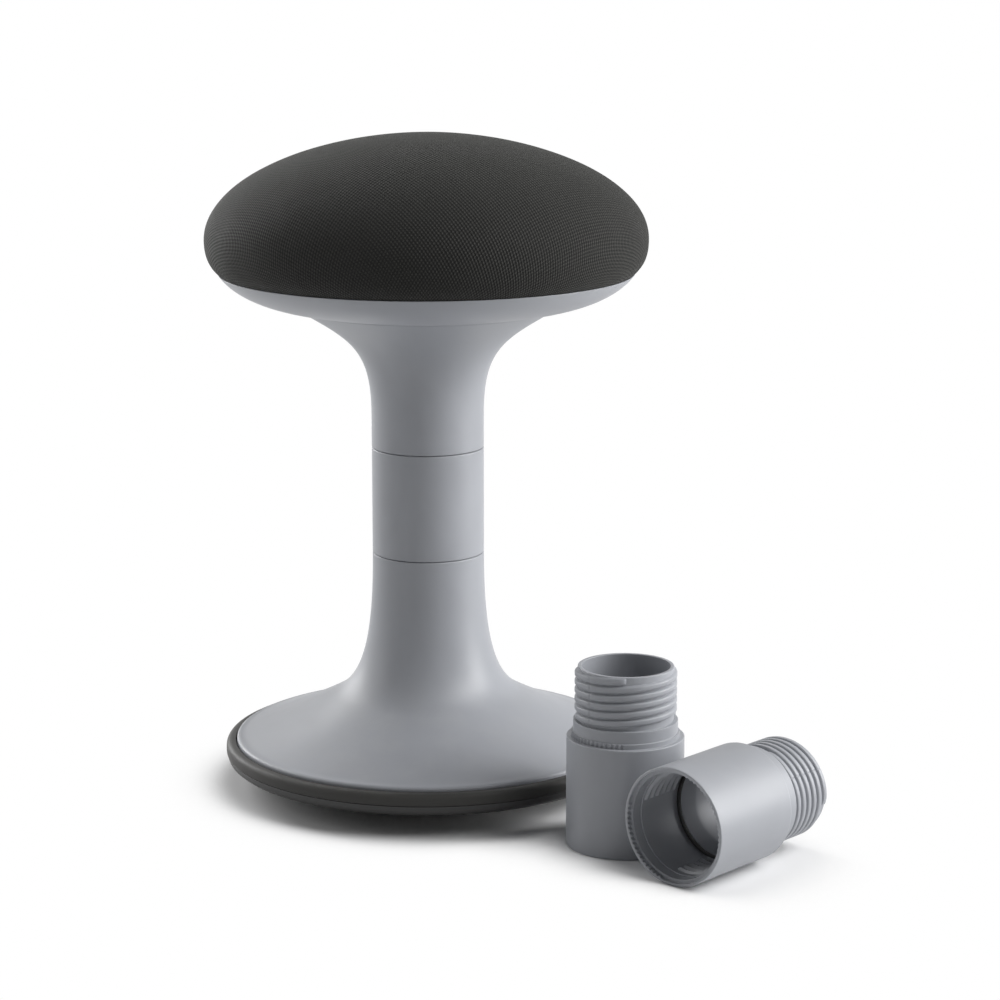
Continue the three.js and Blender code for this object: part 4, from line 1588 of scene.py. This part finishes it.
# The camera looks along Y and down by its pitch
CAMERA_PLACE = (54.74 * MM, -2264.85 * MM, 702.09 * MM)
CAMERA_PITCH = math.radians(12.036)
FOCAL_PIXELS = 3040.3
IMAGE_PIXELS = 1000
SENSOR = 36
NEAREST = 0.05
FARTHEST = 50

# Each lamp's place, width, height and power, and the place that they all face
LAMPS = {
    "right": ((1.9, -0.05, 0.8), 0.9, 1.4, 33),
    "high_right": ((1.45, -0.55, 1.6), 1.2, 1.2, 23),
    "left": ((-1.9, 0.1, 0.8), 0.9, 1.4, 8.5),
    "back_left": ((-1.4, 1.4, 0.9), 0.9, 1.4, 29),
}
LAMP_TARGET = (0, 0, 0.3)
FILL = 0.06

# The floor is white past a reach from its middle, and wherever nothing stands near
FLOOR_RADIUS = 30
FLOOR_SIDES = 96
FLOOR_DROP = 0.1 * MM
FLOOR_SHADES = ((0.88, 0.88, 0.885, 1), (0.91, 0.91, 0.91, 1))
WHITE = (1, 1, 1, 1)
FADE_MIDDLE = (60 * MM, -60 * MM, 0)
FADE_REACH = (280 * MM, 420 * MM)
SHADOW_SAMPLES = 12
SHADOW_REACH = 80 * MM
SHADOW_RANGE = (0.5, 0.92)


def white_rays(tree):
    """1 for camera rays and for reflected and refracted ones, 0 for the rest."""
    path = add(tree, "ShaderNodeLightPath")
    seen = maths(tree, "MAXIMUM", path.outputs["Is Camera Ray"], path.outputs["Is Glossy Ray"])
    return maths(tree, "MAXIMUM", seen, path.outputs["Is Transmission Ray"])


class STOOL_OT_stage(bpy.types.Operator):
    """Sets up the camera, the pale floor, the white surroundings and the soft lamps"""

    bl_idname = "stool.stage"
    bl_label = "Stage"

    def execute(self, context):
        scene = context.scene
        scene.view_settings.view_transform = "Standard"
        self.camera(scene)
        self.floor()
        self.world(scene)
        for name, settings in LAMPS.items():
            self.lamp(scene, name, *settings)
        return {"FINISHED"}

    def camera(self, scene):
        data = bpy.data.cameras.new("camera")
        data.sensor_width = SENSOR
        data.lens = SENSOR * FOCAL_PIXELS / IMAGE_PIXELS
        data.clip_start = NEAREST
        data.clip_end = FARTHEST
        camera = bpy.data.objects.new("camera", data)
        camera.location = CAMERA_PLACE
        camera.rotation_euler = (math.pi / 2 - CAMERA_PITCH, 0, 0)
        scene.collection.objects.link(camera)
        scene.camera = camera

    def floor(self):
        mesh = bmesh.new()
        bmesh.ops.create_circle(mesh, cap_ends=True, segments=FLOOR_SIDES, radius=FLOOR_RADIUS)
        bmesh.ops.translate(mesh, verts=mesh.verts, vec=(0, 0, -FLOOR_DROP))
        floor = new_object("floor", mesh)
        floor.data.materials.append(self.pale_floor())

    def pale_floor(self):
        """Matt and pale, with the object's shadow, and plain white away from the object."""
        material = bpy.data.materials.new("Pale floor")
        tree = tree_of(material)
        coords = add(tree, "ShaderNodeTexCoord").outputs["Object"]
        mottle = speckle(tree, coords, scale=3, detail=4)
        matt = add(tree, "ShaderNodeBsdfDiffuse")
        feed(tree, matt.inputs["Color"], mixed(tree, mottle, *FLOOR_SHADES))
        white = add(tree, "ShaderNodeEmission")
        centred = vector_maths(tree, "SUBTRACT", coords, FADE_MIDDLE)
        reach = add(tree, "ShaderNodeVectorMath", operation="LENGTH")
        feed(tree, reach.inputs[0], centred)
        far = spread(tree, reach.outputs["Value"], *FADE_REACH)
        open_sky = add(tree, "ShaderNodeAmbientOcclusion", samples=SHADOW_SAMPLES)
        open_sky.inputs["Distance"].default_value = SHADOW_REACH
        clear = spread(tree, open_sky.outputs["AO"], *SHADOW_RANGE)
        share = maths(tree, "MULTIPLY", white_rays(tree), maths(tree, "MAXIMUM", far, clear))
        blend = add(tree, "ShaderNodeMixShader")
        feed(tree, blend.inputs[0], share)
        tree.links.new(matt.outputs[0], blend.inputs[1])
        tree.links.new(white.outputs[0], blend.inputs[2])
        output = add(tree, "ShaderNodeOutputMaterial")
        tree.links.new(blend.outputs[0], output.inputs[0])
        return material

    def world(self, scene):
        world = bpy.data.worlds.new("Studio")
        tree = tree_of(world)
        background = add(tree, "ShaderNodeBackground")
        strength = raised(tree, FILL, white_rays(tree), 1 - FILL)
        feed(tree, background.inputs["Strength"], strength)
        background.inputs["Color"].default_value = WHITE
        output = add(tree, "ShaderNodeOutputWorld")
        tree.links.new(background.outputs[0], output.inputs[0])
        scene.world = world

    def lamp(self, scene, name, place, width, height, power):
        data = bpy.data.lights.new(name, "AREA")
        data.shape = "RECTANGLE"
        data.size = width
        data.size_y = height
        data.energy = power
        lamp = bpy.data.objects.new(name, data)
        lamp.location = place
        way = Vector(LAMP_TARGET) - Vector(place)
        lamp.rotation_euler = way.to_track_quat("-Z", "Y").to_euler()
        scene.collection.objects.link(lamp)


STEPS = (
    STOOL_OT_stage,
    STOOL_OT_bottom_plate,
    STOOL_OT_plate_screws,
    STOOL_OT_rim_ring,
    STOOL_OT_base_shell,
    STOOL_OT_sections,
    STOOL_OT_stop_rings,
    STOOL_OT_upper_shell,
    STOOL_OT_hardware,
    STOOL_OT_seat_foam,
    STOOL_OT_seat_cover,
)


class STOOL_PT_panel(bpy.types.Panel):
    """Lists the steps that build the stool"""

    bl_idname = "STOOL_PT_panel"
    bl_label = "Wobble Stool"
    bl_space_type = "VIEW_3D"
    bl_region_type = "UI"
    bl_category = "Stool"

    def draw(self, context):
        for step in STEPS:
            self.layout.operator(step.bl_idname)


GROUPS = {
    "stool_sizes": StoolSizes,
    "stool_joint": StoolJoint,
    "stool_fixings": StoolFixings,
    "stool_colours": StoolColours,
}


def register():
    for cls in (*GROUPS.values(), *STEPS, STOOL_PT_panel):
        bpy.utils.register_class(cls)
    for name, cls in GROUPS.items():
        setattr(bpy.types.Scene, name, PointerProperty(type=cls))


def unregister():
    for name in GROUPS:
        delattr(bpy.types.Scene, name)
    for cls in (STOOL_PT_panel, *reversed(STEPS), *GROUPS.values()):
        bpy.utils.unregister_class(cls)


def main():
    """Builds the whole stool on its stage."""
    register()
    for step in STEPS:
        family, name = step.bl_idname.split(".")
        getattr(getattr(bpy.ops, family), name)()


if __name__ == "__main__":
    main()
